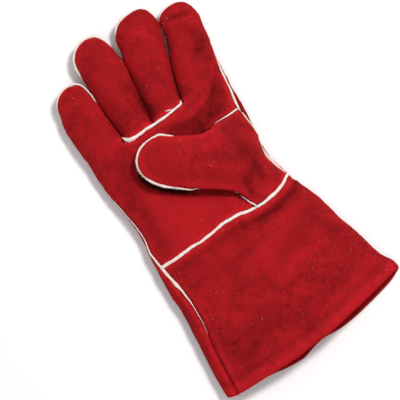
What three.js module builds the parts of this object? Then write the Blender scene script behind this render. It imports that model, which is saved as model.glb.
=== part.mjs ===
// A right-hand gauntlet glove of split cowhide with leather piping in its seams,
// lying palm up with the thumb folded over the palm. Millimetres, +Z up, the
// fingers point to +Y. Every leather piece is a thin wall: an outer sheet of ribs
// and columns, an inner sheet offset by the wall's thickness, and closed edges.
import * as THREE from 'three';

// ---- driving dimensions ----
const WALL = 1.8;             // leather
const HEM_WALL = 3.0;         // folded hem
const HEM_DEPTH = 12;         // how far the hem is turned in
const WELT_R = 1.3;           // piping
const SLOT = 2.0;             // from a seam line to the edge of each panel
const WELT_SINK = 0.35;       // piping's centre below the outer face of a flat panel
const WELT_PROUD = 1.0;       // and how far it stands out between two edges at a side
const FINGER_COLS = 5;        // columns across one finger
const BASE_Y = 89;            // the rib that the fingers spring from
const PALM_BASE_Y = 82;       // seam across the base of the two middle fingers
const CUFF_SEAM_V = -36;      // seam between palm and cuff
const THUMB_SEAM_Y = 50;      // seam from the thumb's root to the side
const WEB_FRONT = 12;         // degrees above the waist where the front web lies
const WEB_BACK = 18;          // degrees below it where the back web lies
const SEAM_UP = 10;           // left seam of a finger, degrees above the waist
const SEAM_DOWN = -15;        // right seam of a finger, degrees below it
const WAIST = 9.0;            // height of a finger's widest place

// ---- tables: one row for each section or fold ----
// Hand and cuff: outline and side seams. v is the station, inL and inR say how far
// the side seams lie in from the outline (below zero: on the underside).
const BODY = rows('v xl yl xr yr bow crown waist inL inR', [
  [-170, -84.5, -170, 119.0, -156.5, -12.0, 27.0, 9.5, 11.0, -6.0],
  [-150, -83.0, -150, 110.0, -137.5, -8.5, 27.5, 9.0, 11.4, -6.0],
  [-130, -81.0, -130, 105.6, -119.0, -5.5, 27.5, 9.0, 11.0, -6.0],
  [-108, -77.5, -108, 101.0, -98.0, -3.5, 27.5, 9.0, 10.7, -6.0],
  [-85, -75.2, -85, 96.5, -76.5, -3.0, 27.0, 9.0, 12.0, -5.0],
  [-66, -74.8, -66, 91.4, -58.5, -3.0, 26.5, 9.0, 11.8, -3.5],
  [-46, -73.0, -46, 84.6, -39.0, -2.5, 25.5, 9.0, 7.5, -0.6],
  [-36, -72.2, -36, 81.4, -28.0, 0.0, 25.0, 9.0, 4.5, 1.0],
  [-20, -70.4, -20, 78.0, -14.0, 0.0, 24.5, 9.0, 1.2, 0.7],
  [-7, -67.4, -7, 75.6, -3.0, 0.0, 24.0, 9.0, 1.2, 0.6],
  [5, -66.4, 5, 75.9, 7.0, 0.0, 23.5, 9.0, 1.2, 0.6],
  [20, -67.6, 20, 78.2, 21.0, 0.0, 23.5, 9.0, 0.8, 0.7],
  [37, -68.8, 37, 80.8, 37.5, 0.0, 23.5, 9.0, 0.6, 2.2],
  [52, -70.2, 52, 83.4, 52.0, 0.0, 24.0, 9.0, 0.6, 5.6],
  [68, -70.2, 68, 85.5, 68.0, 0.0, 24.5, 9.0, 0.5, 3.6],
  [82, -69.6, 82, 87.0, 82.0, 0.0, 24.5, 9.0, 0.4, 2.6],
  [89, -69.4, 89, 87.5, 89.0, 0.0, 24.0, 9.0, 0.3, 2.4],
]);
// Fingers: left and right edge and height of each section, then the tip.
const FINGERS = [
  { name: 'little', tip: { x: -45.5, y: 160.6 }, rows: rows('y left right crown', [
    [89, -69.4, -30.5, 24.0], [108, -70.4, -31.2, 21.5], [126, -69.4, -31.4, 20.5], [141, -65.8, -31.4, 20.0]]) },
  { name: 'ring', tip: { x: -5.5, y: 190.8 }, rows: rows('y left right crown', [
    [89, -26.5, 1.3, 24.5], [110, -27.8, 5.2, 23.5], [131, -28.2, 9.0, 22.5], [150, -28.6, 11.6, 22.0], [167, -28.4, 11.8, 21.5]]) },
  { name: 'middle', tip: { x: 43.0, y: 189.8 }, rows: rows('y left right crown', [
    [89, 5.3, 36.0, 25.0], [110, 8.2, 42.6, 24.5], [131, 12.2, 50.4, 23.5], [150, 15.8, 57.8, 23.0], [165, 18.6, 63.6, 22.5]]) },
  { name: 'index', tip: { x: 80.5, y: 173.4 }, rows: rows('y left right crown', [
    [89, 40.0, 87.5, 24.5], [108, 45.6, 90.4, 24.0], [130, 54.0, 95.4, 23.0], [150, 62.8, 100.2, 22.5]]) },
];
// The cuff seam's wander from a straight line, and how far off it still bends a rib.
const CUFF_WAVE = rows('x dy', [
  [-72, 0], [-52, -2.4], [-37, -2.6], [-20, -2.8], [2, -1.7], [18, -3.3], [30, -6.5],
  [40, -8.4], [54, -8.6], [62, -7.6], [70, -5.6], [81, 0]]);
const CUFF_WAVE_REACH = 10;
// Line where the palm ends under the thumb.
const PALM_EDGE = rows('y x', [
  [-40, 38.0], [-30, 34.0], [-21, 30.4], [-8, 31.0], [10, 34.0], [26, 39.0], [40, 45.0], [50, 50.0]]);
// Thumb: ribs from its lower outline to its upper one. liftL and liftU are the
// seam's height above the palm, top the rib's crown, edge its profile (2 a low
// mound, 1 half an ellipse), drop how far the underside hangs below the seam.
const THUMB = rows('v lx ly liftL ux uy liftU top edge drop', [
  [1, 69.0, -34.5, 0.0, 71.0, 50.0, 0.0, 25.5, 2.0, 0],
  [2, 57.5, -37.3, 0.0, 64.0, 50.0, 0.0, 32.0, 2.0, 0],
  [3, 46.0, -38.4, 0.0, 57.5, 50.0, 0.0, 36.5, 1.9, 0],
  [4, 36.5, -35.0, 0.2, 52.0, 49.8, 0.2, 39.5, 1.6, 0],
  [5, 30.4, -21.7, 3.5, 46.0, 48.6, 3.0, 41.5, 1.3, 0.6],
  [6, 23.0, -13.0, 8.0, 38.3, 46.7, 8.0, 43.0, 1.1, 4.0],
  [7, 10.0, -3.5, 10.0, 27.0, 48.5, 9.5, 43.5, 1.0, 6.2],
  [8, -6.6, 8.6, 10.5, 11.0, 57.5, 10.0, 43.5, 1.0, 6.8],
  [9, -22.0, 21.8, 10.5, -3.5, 67.0, 10.0, 42.5, 1.0, 6.8],
]);
const THUMB_CAP = { dx: -21, dy: 12 };   // how far the tip reaches past the last rib's middle
// Dents and folds of the upper side: a valley of the given length and width that
// runs in direction dir (degrees from +X).
const FOLDS = rows('x y dir long wide deep', [
  [2, 26, 155, 46, 26, 2.6],      // pressed down under the thumb
  [0, -47, 2, 70, 4.5, 0.9],      // crease along the cuff seam
  [-60, -140, 94, 34, 4.5, 1.3],  // crease beside the side seam
  [20, -98, 24, 60, 13, 1.2],     // slack waves of the cuff
  [62, -120, 100, 40, 12, 1.2],
  [58, 72, 120, 30, 7, 1.6],      // fold from the index finger's base
  [-30, 50, 60, 34, 11, 1.0],     // slack palm
]);
// How far the back hem reaches past the front one, at its middle.
const BACK_HEM_REACH = 2.5;

// ---- tables and curves ----
function rows(names, list) {
  const keys = names.split(' ');
  return list.map((r) => Object.fromEntries(keys.map((k, i) => [k, r[i]])));
}
// A smooth curve through one column of a table.
function at(table, by, key, v) {
  const n = table.length;
  let i = 0;
  while (i < n - 2 && v > table[i + 1][by]) i++;
  const a = table[i], b = table[i + 1], h = b[by] - a[by];
  const slope = (j) => {
    const p = table[Math.max(j - 1, 0)], q = table[Math.min(j + 1, n - 1)];
    return (q[key] - p[key]) / (q[by] - p[by]);
  };
  const t = Math.min(Math.max((v - a[by]) / h, -0.2), 1.2);
  const t2 = t * t, t3 = t2 * t;
  return (2 * t3 - 3 * t2 + 1) * a[key] + (t3 - 2 * t2 + t) * h * slope(i)
    + (3 * t2 - 2 * t3) * b[key] + (t3 - t2) * h * slope(i + 1);
}
const rad = (d) => (d * Math.PI) / 180;
const mix = (a, b, t) => a + (b - a) * t;
const clamp = (x, a, b) => Math.min(Math.max(x, a), b);
const smooth = (t) => { const c = clamp(t, 0, 1); return c * c * (3 - 2 * c); };

function foldDepth(x, y) {
  let d = 0;
  for (const f of FOLDS) {
    const c = Math.cos(rad(f.dir)), s = Math.sin(rad(f.dir));
    const along = (x - f.x) * c + (y - f.y) * s, across = (y - f.y) * c - (x - f.x) * s;
    d += f.deep * Math.exp(-((across / f.wide) ** 2) - (along / f.long) ** 4);
  }
  return d;
}

// ---- hand and cuff ----
// A point of the closed section at station v; phi 0 right, 90 top, 180 left, 270 under.
function dome(v, phi, back = false) {
  const g = (k) => at(BODY, 'v', k, v);
  const xl = g('xl'), xr = g('xr'), waist = g('waist');
  const c = Math.cos(phi), s = Math.sin(phi), t = (1 + c) / 2;
  const reach = back ? BACK_HEM_REACH * smooth((-v - 145) / 25) : 0;
  const x = mix(xl, xr, t);
  const wave = at(CUFF_WAVE, 'x', 'dy', clamp(x, -72, 81)) * Math.exp(-(((v - CUFF_SEAM_V) / CUFF_WAVE_REACH) ** 2));
  const y = mix(g('yl'), g('yr'), t) + (g('bow') - reach) * 4 * t * (1 - t) + wave;
  let z = s >= 0 ? waist + (g('crown') - waist) * s ** 0.85 : Math.max(0, waist * (1 - 1.25 * (-s) ** 0.85));
  if (s > 0) z -= foldDepth(x, y) * smooth(s * 1.6);
  return new THREE.Vector3(x, y, z);
}
// Angle of a side seam at station v.
function seamAngle(v, side) {
  const half = (at(BODY, 'v', 'xr', v) - at(BODY, 'v', 'xl', v)) / 2;
  const inset = at(BODY, 'v', side < 0 ? 'inL' : 'inR', v);
  return Math.sign(inset) * Math.acos(1 - Math.abs(inset) / half);
}
// Walk a distance along a curve of angles.
function walk(curve, phi, distance) {
  const step = Math.sign(distance) * rad(0.25);
  let gone = 0, p = curve(phi);
  while (gone < Math.abs(distance)) {
    phi += step;
    const q = curve(phi);
    gone += q.distanceTo(p);
    p = q;
  }
  return phi;
}
// Height of the palm's outer face at a place in plan.
function topAt(x, y) {
  let v = y, phi = Math.PI / 2;
  for (let i = 0; i < 8; i++) {
    const xl = at(BODY, 'v', 'xl', v), xr = at(BODY, 'v', 'xr', v);
    phi = Math.acos(clamp((2 * (x - xl)) / (xr - xl) - 1, -1, 1));
    v += y - dome(v, phi).y;
  }
  return dome(v, phi).z;
}

// ---- fingers ----
// Section of finger f at y, or in its round tip at angle cap.
function fingerSection(f, y, cap = 0) {
  const last = f.rows[f.rows.length - 1];
  const yy = Math.min(y, last.y);
  const left = at(f.rows, 'y', 'left', yy), right = at(f.rows, 'y', 'right', yy);
  const c = Math.cos(cap), s = Math.sin(cap);
  return {
    x: mix((left + right) / 2, f.tip.x, cap ? s * s : 0),
    y: cap ? mix(last.y, f.tip.y, s) : y,
    half: ((right - left) / 2) * c, crown: at(f.rows, 'y', 'crown', yy), c,
  };
}
function fingerPoint(sec, phi) {
  const s = Math.sin(phi);
  const z = s >= 0 ? (sec.crown - WAIST) * s ** 0.9 : Math.max(-WAIST, -WAIST * 1.2 * (-s) ** 0.85);
  return new THREE.Vector3(sec.x + sec.half * Math.cos(phi), sec.y, WAIST + z * sec.c ** 0.85);
}
// Angles where the front and back panels of finger k end, and of its seams.
function fingerEdges(k, sec, cap = 0) {
  const f = FINGERS[k], away = smooth((sec.y - BASE_Y) / 9);
  const curve = (p) => fingerPoint(sec, p);
  let up = rad(SEAM_UP), down = rad(SEAM_DOWN);
  if (k === 0) up = mix(Math.acos(1 - BODY.at(-1).inL / sec.half), up, away);
  if (k === 3) down = mix(Math.acos(1 - BODY.at(-1).inR / sec.half), down, smooth((sec.y - BASE_Y) / 22));
  const slot = Math.min(SLOT / Math.cos(cap), sec.half * 1.15);
  const e = {
    seamL: Math.PI - up, seamR: down,
    frontL: walk(curve, Math.PI - up, -slot), frontR: walk(curve, down, slot),
    backL: walk(curve, Math.PI - up, slot), backR: walk(curve, 2 * Math.PI + down, -slot),
  };
  if (k > 0) {
    e.frontL = mix(Math.PI - rad(WEB_FRONT), e.frontL, away);
    e.backL = mix(Math.PI + rad(WEB_BACK), e.backL, away);
  }
  if (k < 3) {
    e.frontR = mix(rad(WEB_FRONT), e.frontR, away);
    e.backR = mix(2 * Math.PI - rad(WEB_BACK), e.backR, away);
  }
  return e;
}
function fingerRib(k, sec, side, cap = 0) {
  const e = fingerEdges(k, sec, cap);
  const [a, b] = side === 'front' ? [e.frontL, e.frontR] : [e.backL, e.backR];
  return Array.from({ length: FINGER_COLS + 1 }, (_, i) => ({ phi: mix(a, b, i / FINGER_COLS) }))
    .map((p) => Object.assign(fingerPoint(sec, p.phi), { phi: p.phi }));
}
const STEPS = [8, 20, 34, 50, 66];           // ribs up a finger, as far as its last section
const CAPS = [0, 24, 42, 56, 66, 72].map(rad);
function fingerSections(k) {
  const f = FINGERS[k], top = f.rows.at(-1).y - BASE_Y;
  const steps = STEPS.filter((s) => s < top - 6);
  return [...steps.map((s) => [fingerSection(f, BASE_Y + s), 0]),
    ...CAPS.map((c) => [fingerSection(f, f.rows.at(-1).y, c), c])];
}

// ---- ribs of the hand and cuff ----
// The rib at the fingers' base: four bumps and three webs between them.
const BASE = {};
for (const side of ['front', 'back']) {
  BASE[side] = FINGERS.flatMap((f, k) => fingerRib(k, fingerSection(f, BASE_Y), side));
  const xc = (BODY.at(-1).xl + BODY.at(-1).xr) / 2, half = (BODY.at(-1).xr - BODY.at(-1).xl) / 2;
  BASE[side].forEach((p) => {
    const a = Math.acos(clamp((p.x - xc) / half, -1, 1));
    p.turn = Math.sin(p.phi) >= 0 ? (p.phi > 6 ? 2 * Math.PI + a : a) : 2 * Math.PI - a;
  });
}
const COLS = BASE.front.length - 1;
const THUMB_COL = 3 * (FINGER_COLS + 1) + 2;  // the palm ends here beside the thumb

function bodyRib(v, side, { edge = null, y = null } = {}) {
  const back = side === 'back', base = BASE[side];
  const curve = (p) => dome(v, p, back);
  const seamL = Math.PI - seamAngle(v, -1), seamR = seamAngle(v, 1);
  let a, b, last = COLS;
  if (back) {
    a = walk(curve, seamL, SLOT);
    b = walk(curve, 2 * Math.PI + seamR, -SLOT);
  } else {
    a = walk(curve, seamL, -SLOT);
    b = walk(curve, seamR, SLOT);
    if (edge !== null) {
      last = THUMB_COL;
      b = Math.acos(clamp((edge - curve(Math.PI / 2).x) / ((curve(0).x - curve(Math.PI).x) / 2), -1, 1));
    }
  }
  const blend = Math.exp(-(((BASE_Y - Math.min(v, BASE_Y)) / 10) ** 1.3));
  const xl = curve(Math.PI).x, xr = curve(0).x, row0 = BODY.at(-1);
  return base.slice(0, last + 1).map((p) => {
    const t = (p.turn - base[0].turn) / (base[last].turn - base[0].turn);
    const q = curve(mix(a, b, t));
    const bump = new THREE.Vector3(mix(xl, xr, (p.x - row0.xl) / (row0.xr - row0.xl)), q.y, p.z);
    q.lerp(bump, edge === null ? blend : 0);
    if (v === BASE_Y) q.copy(p);
    return q;
  });
}

// ---- closed walls from sheets ----
class Sheet {
  constructor(name, material) {
    Object.assign(this, { name, material, pts: [], faces: [], index: new Map() });
  }
  vertex(p) {
    const key = [p.x, p.y, p.z].map((c) => Math.round(c * 1e3)).join();
    if (!this.index.has(key)) { this.index.set(key, this.pts.length); this.pts.push(p.clone()); }
    return this.index.get(key);
  }
  // ribs of equal length; flip turns the outer side over
  patch(ribs, flip = false) {
    const id = ribs.map((r) => r.map((p) => this.vertex(p)));
    for (let i = 0; i + 1 < id.length; i++) {
      for (let j = 0; j + 1 < id[i].length; j++) {
        const a = id[i][j], b = id[i][j + 1], c = id[i + 1][j + 1], d = id[i + 1][j];
        const tris = this.pts[a].distanceTo(this.pts[c]) < this.pts[b].distanceTo(this.pts[d])
          ? [[a, b, c], [a, c, d]] : [[a, b, d], [b, c, d]];
        for (const t of tris) if (new Set(t).size === 3) this.faces.push(flip ? [t[0], t[2], t[1]] : t);
      }
    }
    return this;
  }
  mesh(thickness) {
    const n = this.pts.length, normals = this.pts.map(() => new THREE.Vector3());
    const ab = new THREE.Vector3(), ac = new THREE.Vector3();
    for (const [a, b, c] of this.faces) {
      ab.subVectors(this.pts[b], this.pts[a]);
      ac.subVectors(this.pts[c], this.pts[a]);
      ab.cross(ac);
      for (const i of [a, b, c]) normals[i].add(ab);
    }
    const inner = this.pts.map((p, i) => p.clone().addScaledVector(normals[i].normalize(), -thickness(p)));
    const all = [...this.pts, ...inner], tris = [...this.faces];
    const edges = new Set(this.faces.flatMap(([a, b, c]) => [[a, b], [b, c], [c, a]].map((e) => e.join())));
    for (const [a, b, c] of this.faces) tris.push([n + a, n + c, n + b]);
    for (const e of edges) {
      const [a, b] = e.split(',').map(Number);
      if (!edges.has(`${b},${a}`)) tris.push([b, a, n + a], [b, n + a, n + b]);
    }
    return solid(this.name, this.material, all, tris);
  }
}
function solid(name, material, pts, tris) {
  const g = new THREE.BufferGeometry();
  g.setAttribute('position', new THREE.Float32BufferAttribute(pts.flatMap((p) => [p.x, p.y, p.z]), 3));
  g.setIndex(tris.flat());
  g.computeVertexNormals();
  const m = new THREE.Mesh(g, material);
  m.name = name;
  return m;
}
// Piping: a closed round strip along a path.
function welt(name, path, radius = WELT_R, sides = 6) {
  const pts = [], tris = [], n = path.length;
  let up = new THREE.Vector3(0, 0, 1);
  path.forEach((p, i) => {
    const dir = path[Math.min(i + 1, n - 1)].clone().sub(path[Math.max(i - 1, 0)]).normalize();
    up.addScaledVector(dir, -up.dot(dir)).normalize();
    const side = new THREE.Vector3().crossVectors(dir, up);
    for (let k = 0; k < sides; k++) {
      const a = (2 * Math.PI * (k + 0.5)) / sides;
      pts.push(p.clone().addScaledVector(side, radius * Math.cos(a)).addScaledVector(up, radius * Math.sin(a)));
    }
  });
  for (let i = 0; i + 1 < n; i++) {
    for (let k = 0; k < sides; k++) {
      const a = i * sides + k, b = i * sides + ((k + 1) % sides);
      tris.push([a, a + sides, b], [b, a + sides, b + sides]);
    }
  }
  for (let k = 1; k + 1 < sides; k++) {
    tris.push([0, k, k + 1]);
    const e = (n - 1) * sides;
    tris.push([e, e + k + 1, e + k]);
  }
  const m = solid(name, PIPING, pts, tris);
  return m;
}
// Between the edges of two panels, standing out away from the hollow's middle.
function between(p, q, middle, proud = WELT_PROUD) {
  const m = p.clone().add(q).multiplyScalar(0.5);
  const chord = q.clone().sub(p).normalize(), out = m.clone().sub(middle);
  out.addScaledVector(chord, -out.dot(chord)).normalize();
  return m.addScaledVector(out, proud);
}

// ---- materials ----
const leather = (color) => new THREE.MeshStandardMaterial({ color, roughness: 0.95, metalness: 0 });
const RED = leather(0xae1c22), PIPING = new THREE.MeshStandardMaterial({ color: 0xeee0d4, roughness: 0.9, metalness: 0 });

// ---- leather panels ----
// The hem is thicker, as far in from its edge as it is folded.
function hemWall(p) {
  const g = (k) => at(BODY, 'v', k, BODY[0].v + HEM_DEPTH);
  const t = clamp((p.x - g('xl')) / (g('xr') - g('xl')), 0, 1);
  const line = mix(g('yl'), g('yr'), t) + g('bow') * 4 * t * (1 - t);
  return mix(WALL, HEM_WALL, smooth((line - p.y) / 3));
}
const strip = (rib, k) => rib.slice(k * (FINGER_COLS + 1), (k + 1) * (FINGER_COLS + 1));
const upFinger = (k, side, first) => [first, ...fingerSections(k).map(([s, c]) => fingerRib(k, s, side, c))];
const shifted = (rib, dy) => rib.map((p) => p.clone().add(new THREE.Vector3(0, dy, 0)));
const palmEdge = (v) => at(PALM_EDGE, 'y', 'x', v) - SLOT * 1.35;

// stations of the ribs, shared by the panels that meet at the side seams
const CUFF_VS = [-170, -158, -145, -130, -114, -98, -82, -67, -55, -45, CUFF_SEAM_V];
const LOW_VS = [CUFF_SEAM_V, -28, -19, -8, 5, 18, 30, 41];
const HIGH_VS = [THUMB_SEAM_Y + SLOT + 0.2, 60, 68, 75, PALM_BASE_Y - SLOT];

const palm = new Sheet('palm_panel', RED);
const lower = LOW_VS.map((v) => {
  const rib = bodyRib(v, 'front', { edge: palmEdge(v) });
  return v === CUFF_SEAM_V ? shifted(rib, SLOT) : rib;
});
const upper = HIGH_VS.map((v) => bodyRib(v, 'front'));
palm.patch([...lower, upper[0].slice(0, THUMB_COL + 1)]);
palm.patch(upper);
const baseFront = bodyRib(BASE_Y, 'front'), nearBase = bodyRib(85.5, 'front');
for (const k of [0, 3]) palm.patch([strip(upper.at(-1), k), strip(nearBase, k), ...upFinger(k, 'front', strip(baseFront, k))]);

const middles = new Sheet('middle_fingers_front', RED);
const [m0, m1] = [FINGER_COLS + 1, 3 * (FINGER_COLS + 1)];
middles.patch([bodyRib(PALM_BASE_Y + SLOT, 'front'), baseFront].map((r) => r.slice(m0, m1)));
for (const k of [1, 2]) middles.patch(upFinger(k, 'front', strip(baseFront, k)));

const cuff = new Sheet('cuff_front', RED);
cuff.patch(CUFF_VS.map((v) => {
  const rib = bodyRib(v, 'front').filter((_, j) => j % 6 !== 2);
  return v === CUFF_SEAM_V ? shifted(rib, -SLOT) : rib;
}));

const back = new Sheet('back_panel', RED);
const BACK_VS = [...CUFF_VS, ...LOW_VS.slice(1), ...HIGH_VS, 85.5, BASE_Y];
const backRibs = BACK_VS.map((v) => bodyRib(v, 'back'));
back.patch(backRibs, true);
for (let k = 0; k < 4; k++) back.patch(upFinger(k, 'back', strip(backRibs.at(-1), k)), true);

// ---- thumb ----
function thumbRib(v, cap = 0) {
  const g = (k) => at(THUMB, 'v', k, v);
  const L = new THREE.Vector3(g('lx'), g('ly'), 0), U = new THREE.Vector3(g('ux'), g('uy'), 0);
  const zl = topAt(L.x, L.y) + g('liftL'), zu = topAt(U.x, U.y) + g('liftU');
  const mid = L.clone().add(U).multiplyScalar(0.5), half = U.clone().sub(L).multiplyScalar(0.5);
  const c = Math.cos(cap), s = Math.sin(cap);
  mid.x += THUMB_CAP.dx * s;
  mid.y += THUMB_CAP.dy * s;
  half.multiplyScalar(c);
  const seam = (zl + zu) / 2, tall = g('top') - seam, edge = g('edge'), drop = g('drop');
  return (phi) => {
    const k = Math.cos(phi), sn = Math.sin(phi);
    const p = mid.clone().addScaledVector(half, k);
    p.z = seam + ((zu - zl) / 2) * k * c + (sn >= 0 ? tall * sn ** edge : -drop * (-sn) ** 0.8) * c ** 0.85;
    return p;
  };
}
const THUMB_COLS = 9;
const thumbVs = [1, 2, 3, 4, 5, 5.5, 6, 7, 8, 9], thumbCaps = [22, 40, 55, 65, 72].map(rad);
const spread = (curve, a, b, n) => Array.from({ length: n + 1 }, (_, i) => curve(mix(a, b, i / n)));
const thumbSlot = (curve, cap) => Math.min((SLOT + 0.2) / Math.cos(cap), curve(0).distanceTo(curve(Math.PI)) * 0.42);
const outerRib = (curve, cap = 0) => spread(curve, walk(curve, Math.PI, -thumbSlot(curve, cap)), walk(curve, 0, thumbSlot(curve, cap)), THUMB_COLS);
const innerRib = (curve, cap = 0) => spread(curve, walk(curve, Math.PI, thumbSlot(curve, cap) + 1), walk(curve, 2 * Math.PI, -thumbSlot(curve, cap) - 1), THUMB_COLS);

const thumbOuter = new Sheet('thumb_outer', RED);
// the rib beside the side seam
const rootVs = (n) => Array.from({ length: n + 1 }, (_, i) => mix(CUFF_SEAM_V + 1 + SLOT, THUMB_SEAM_Y - SLOT, i / n));
const rootRib = rootVs(THUMB_COLS).map((v) => {
  const curve = (p) => dome(v, p);
  return curve(walk(curve, seamAngle(v, 1), SLOT));
});
thumbOuter.patch([rootRib, ...thumbVs.map((v) => outerRib(thumbRib(v))), ...thumbCaps.map((c) => outerRib(thumbRib(9, c), c))]);
const thumbInner = new Sheet('thumb_inner', RED);
thumbInner.patch([5.5, 6, 7, 8, 9].map((v) => innerRib(thumbRib(v))).concat(thumbCaps.map((c) => innerRib(thumbRib(9, c), c))), true);

// ---- piping ----
const weltPaths = {};
FINGERS.forEach((f, k) => {
  const left = [], right = [];
  for (const [sec, c] of fingerSections(k)) {
    const e = fingerEdges(k, sec, c), curve = (p) => fingerPoint(sec, p);
    const middle = curve(0).add(curve(Math.PI)).multiplyScalar(0.5);
    left.push(between(curve(e.frontL), curve(e.backL), middle));
    right.unshift(between(curve(e.frontR), curve(e.backR), middle));
  }
  const tip = [78, 90].map((c) => fingerSection(f, f.rows.at(-1).y, rad(c)));
  const end = (sec, side) => new THREE.Vector3(sec.x + side * (sec.half + 0.5), sec.y + 0.4, WAIST);
  weltPaths[`welt_${f.name}`] = [...left, end(tip[0], -1), end(tip[1], 0), end(tip[0], 1), ...right];
});
// midway between the edges of the front and back panels
function bodySeam(v, side) {
  const end = side < 0 ? 0 : -1, middle = dome(v, 0).add(dome(v, Math.PI)).multiplyScalar(0.5);
  return between(bodyRib(v, 'front').at(end), bodyRib(v, 'back').at(end), middle);
}
// the little finger's piping goes on down the side of the hand to mid cuff
const SIDE_VS = [...CUFF_VS.filter((v) => v >= -114), ...LOW_VS.slice(1), ...HIGH_VS, 85.5, BASE_Y];
weltPaths.welt_little = [...SIDE_VS.map((v) => bodySeam(v, -1)), ...weltPaths.welt_little];
// the index finger's goes down to the thumb's seam, the rest of that side is welt_side
weltPaths.welt_index = [...weltPaths.welt_index, ...[...HIGH_VS, 85.5, BASE_Y].reverse().map((v) => bodySeam(v, 1))];
weltPaths.welt_side = [THUMB_SEAM_Y - 2, ...LOW_VS.slice(1).reverse()].map((v) => bodySeam(v, 1));
const sunk = (p) => p.clone().add(new THREE.Vector3(0, 0, -WELT_SINK));
const across = (v, phis) => phis.map((p) => sunk(dome(v, rad(p))));
weltPaths.welt_cuff = across(CUFF_SEAM_V, [152, 144, 136, 128, 120, 112, 104, 96, 88, 80, 72, 64, 56, 48, 40, 32, 24, 17]);
weltPaths.welt_palm_base = bodyRib(PALM_BASE_Y, 'front').slice(m0, m1).map(sunk);
// round the thumb, between its two sides
function thumbSeam(v, side, cap = 0) {
  const curve = thumbRib(v, cap), outer = outerRib(curve, cap), inner = innerRib(curve, cap);
  const end = side < 0 ? 0 : -1, middle = curve(0).add(curve(Math.PI)).multiplyScalar(0.5);
  return between(outer.at(end), inner.at(end), middle);
}
const thumbEnd = (deg, side) => {
  const curve = thumbRib(9, rad(deg));
  return curve(Math.PI).lerp(curve(0), side < 0 ? 0 : side > 0 ? 1 : 0.5).add(new THREE.Vector3(-0.7, 0.4, 0));
};
const thumbSideVs = [5.5, 6, 7, 8, 9];
weltPaths.welt_thumb = [
  ...thumbSideVs.map((v) => thumbSeam(v, -1)), ...thumbCaps.map((c) => thumbSeam(9, -1, c)),
  thumbEnd(78, -1), thumbEnd(90, 0), thumbEnd(78, 1),
  ...[...thumbCaps].reverse().map((c) => thumbSeam(9, 1, c)), ...thumbSideVs.slice(1).reverse().map((v) => thumbSeam(v, 1)),
];
weltPaths.welt_thumb_lower = [5, 4.6, 4.25].map((v) => sunk(thumbRib(v)(Math.PI)));
weltPaths.welt_thumb_upper = [1.4, 2, 3, 4, 5].map((v) => sunk(thumbRib(v)(0)));

// ---- assembly ----
const model = new THREE.Group();
const plain = () => WALL;
model.add(palm.mesh(plain), middles.mesh(plain), thumbOuter.mesh(plain), thumbInner.mesh(plain),
  cuff.mesh(hemWall), back.mesh(hemWall));
for (const [name, path] of Object.entries(weltPaths)) model.add(welt(name, path, name === 'welt_thumb_lower' ? 1.1 : WELT_R));
// the origin is under the middle of the whole
const box = new THREE.Box3().setFromObject(model);
const centre = box.getCenter(new THREE.Vector3());
model.userData.centre = centre.toArray();
for (const m of model.children) m.geometry.translate(-centre.x, -centre.y, -box.min.z);

export default model;
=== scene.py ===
# A right-hand gauntlet glove of napped red split leather with pale piping, lying palm up.
# Tables and curves below are in drawing millimetres; row() turns them into the frame's metres.
import math

import bpy
import numpy as np
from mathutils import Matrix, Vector, kdtree


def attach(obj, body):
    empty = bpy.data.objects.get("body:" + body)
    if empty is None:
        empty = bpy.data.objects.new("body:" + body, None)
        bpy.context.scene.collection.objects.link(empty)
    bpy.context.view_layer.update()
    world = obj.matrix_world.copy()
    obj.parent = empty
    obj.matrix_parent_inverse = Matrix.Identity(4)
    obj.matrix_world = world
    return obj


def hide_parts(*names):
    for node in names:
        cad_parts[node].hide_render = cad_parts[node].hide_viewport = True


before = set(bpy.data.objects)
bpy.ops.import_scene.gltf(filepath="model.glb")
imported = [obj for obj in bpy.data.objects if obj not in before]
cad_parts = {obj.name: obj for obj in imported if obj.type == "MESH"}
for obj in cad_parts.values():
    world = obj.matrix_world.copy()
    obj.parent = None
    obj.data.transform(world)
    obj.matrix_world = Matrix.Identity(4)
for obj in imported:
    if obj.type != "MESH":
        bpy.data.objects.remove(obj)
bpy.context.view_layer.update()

PI = math.pi
CENTRE = np.array([17.482, 6.948, 0.0])   # drawing origin to row frame


def row(p):
    return (np.asarray(p, float) - CENTRE) / 1000.0


# ------------------------------------------------------------------ camera, light, floor
scene = bpy.context.scene
BACK = Vector((-0.11627, -0.17236, 0.97815))   # from the glove to the camera: 78 degrees up


def make_camera():
    cam = bpy.data.objects.new("camera", bpy.data.cameras.new("camera"))
    scene.collection.objects.link(cam)
    cam.data.sensor_fit = "HORIZONTAL"
    cam.data.sensor_width = 36
    cam.data.lens = 142.1
    cam.location = Vector(row((0, 0, 0))) + BACK * 1.5
    cam.rotation_mode = "QUATERNION"
    cam.rotation_quaternion = (-BACK).to_track_quat("-Z", "Y")
    cam.data.clip_start, cam.data.clip_end = 0.05, 20
    scene.camera = cam


def area_light(name, where, size, power, color=(1, 1, 1)):
    d = bpy.data.lights.new(name, "AREA")
    d.shape, d.size, d.energy, d.color = "DISK", size, power, color
    o = bpy.data.objects.new(name, d)
    scene.collection.objects.link(o)
    o.location = where
    o.rotation_mode = "QUATERNION"
    o.rotation_quaternion = (-Vector(where)).to_track_quat("-Z", "Y")
    return o


def make_lights():
    area_light("key", (0.644, 0.125, 1.236), 0.34, 13.6, (1, 0.99, 0.975))
    area_light("fill", (-0.9, -0.5, 1.3), 1.3, 4.0)
    w = bpy.data.worlds.new("studio")
    scene.world = w
    w.use_nodes = True
    w.node_tree.nodes["Background"].inputs[0].default_value = (1, 1, 1, 1)
    w.node_tree.nodes["Background"].inputs[1].default_value = 0.47
    scene.view_settings.view_transform = "Standard"


make_camera()
make_lights()

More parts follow.
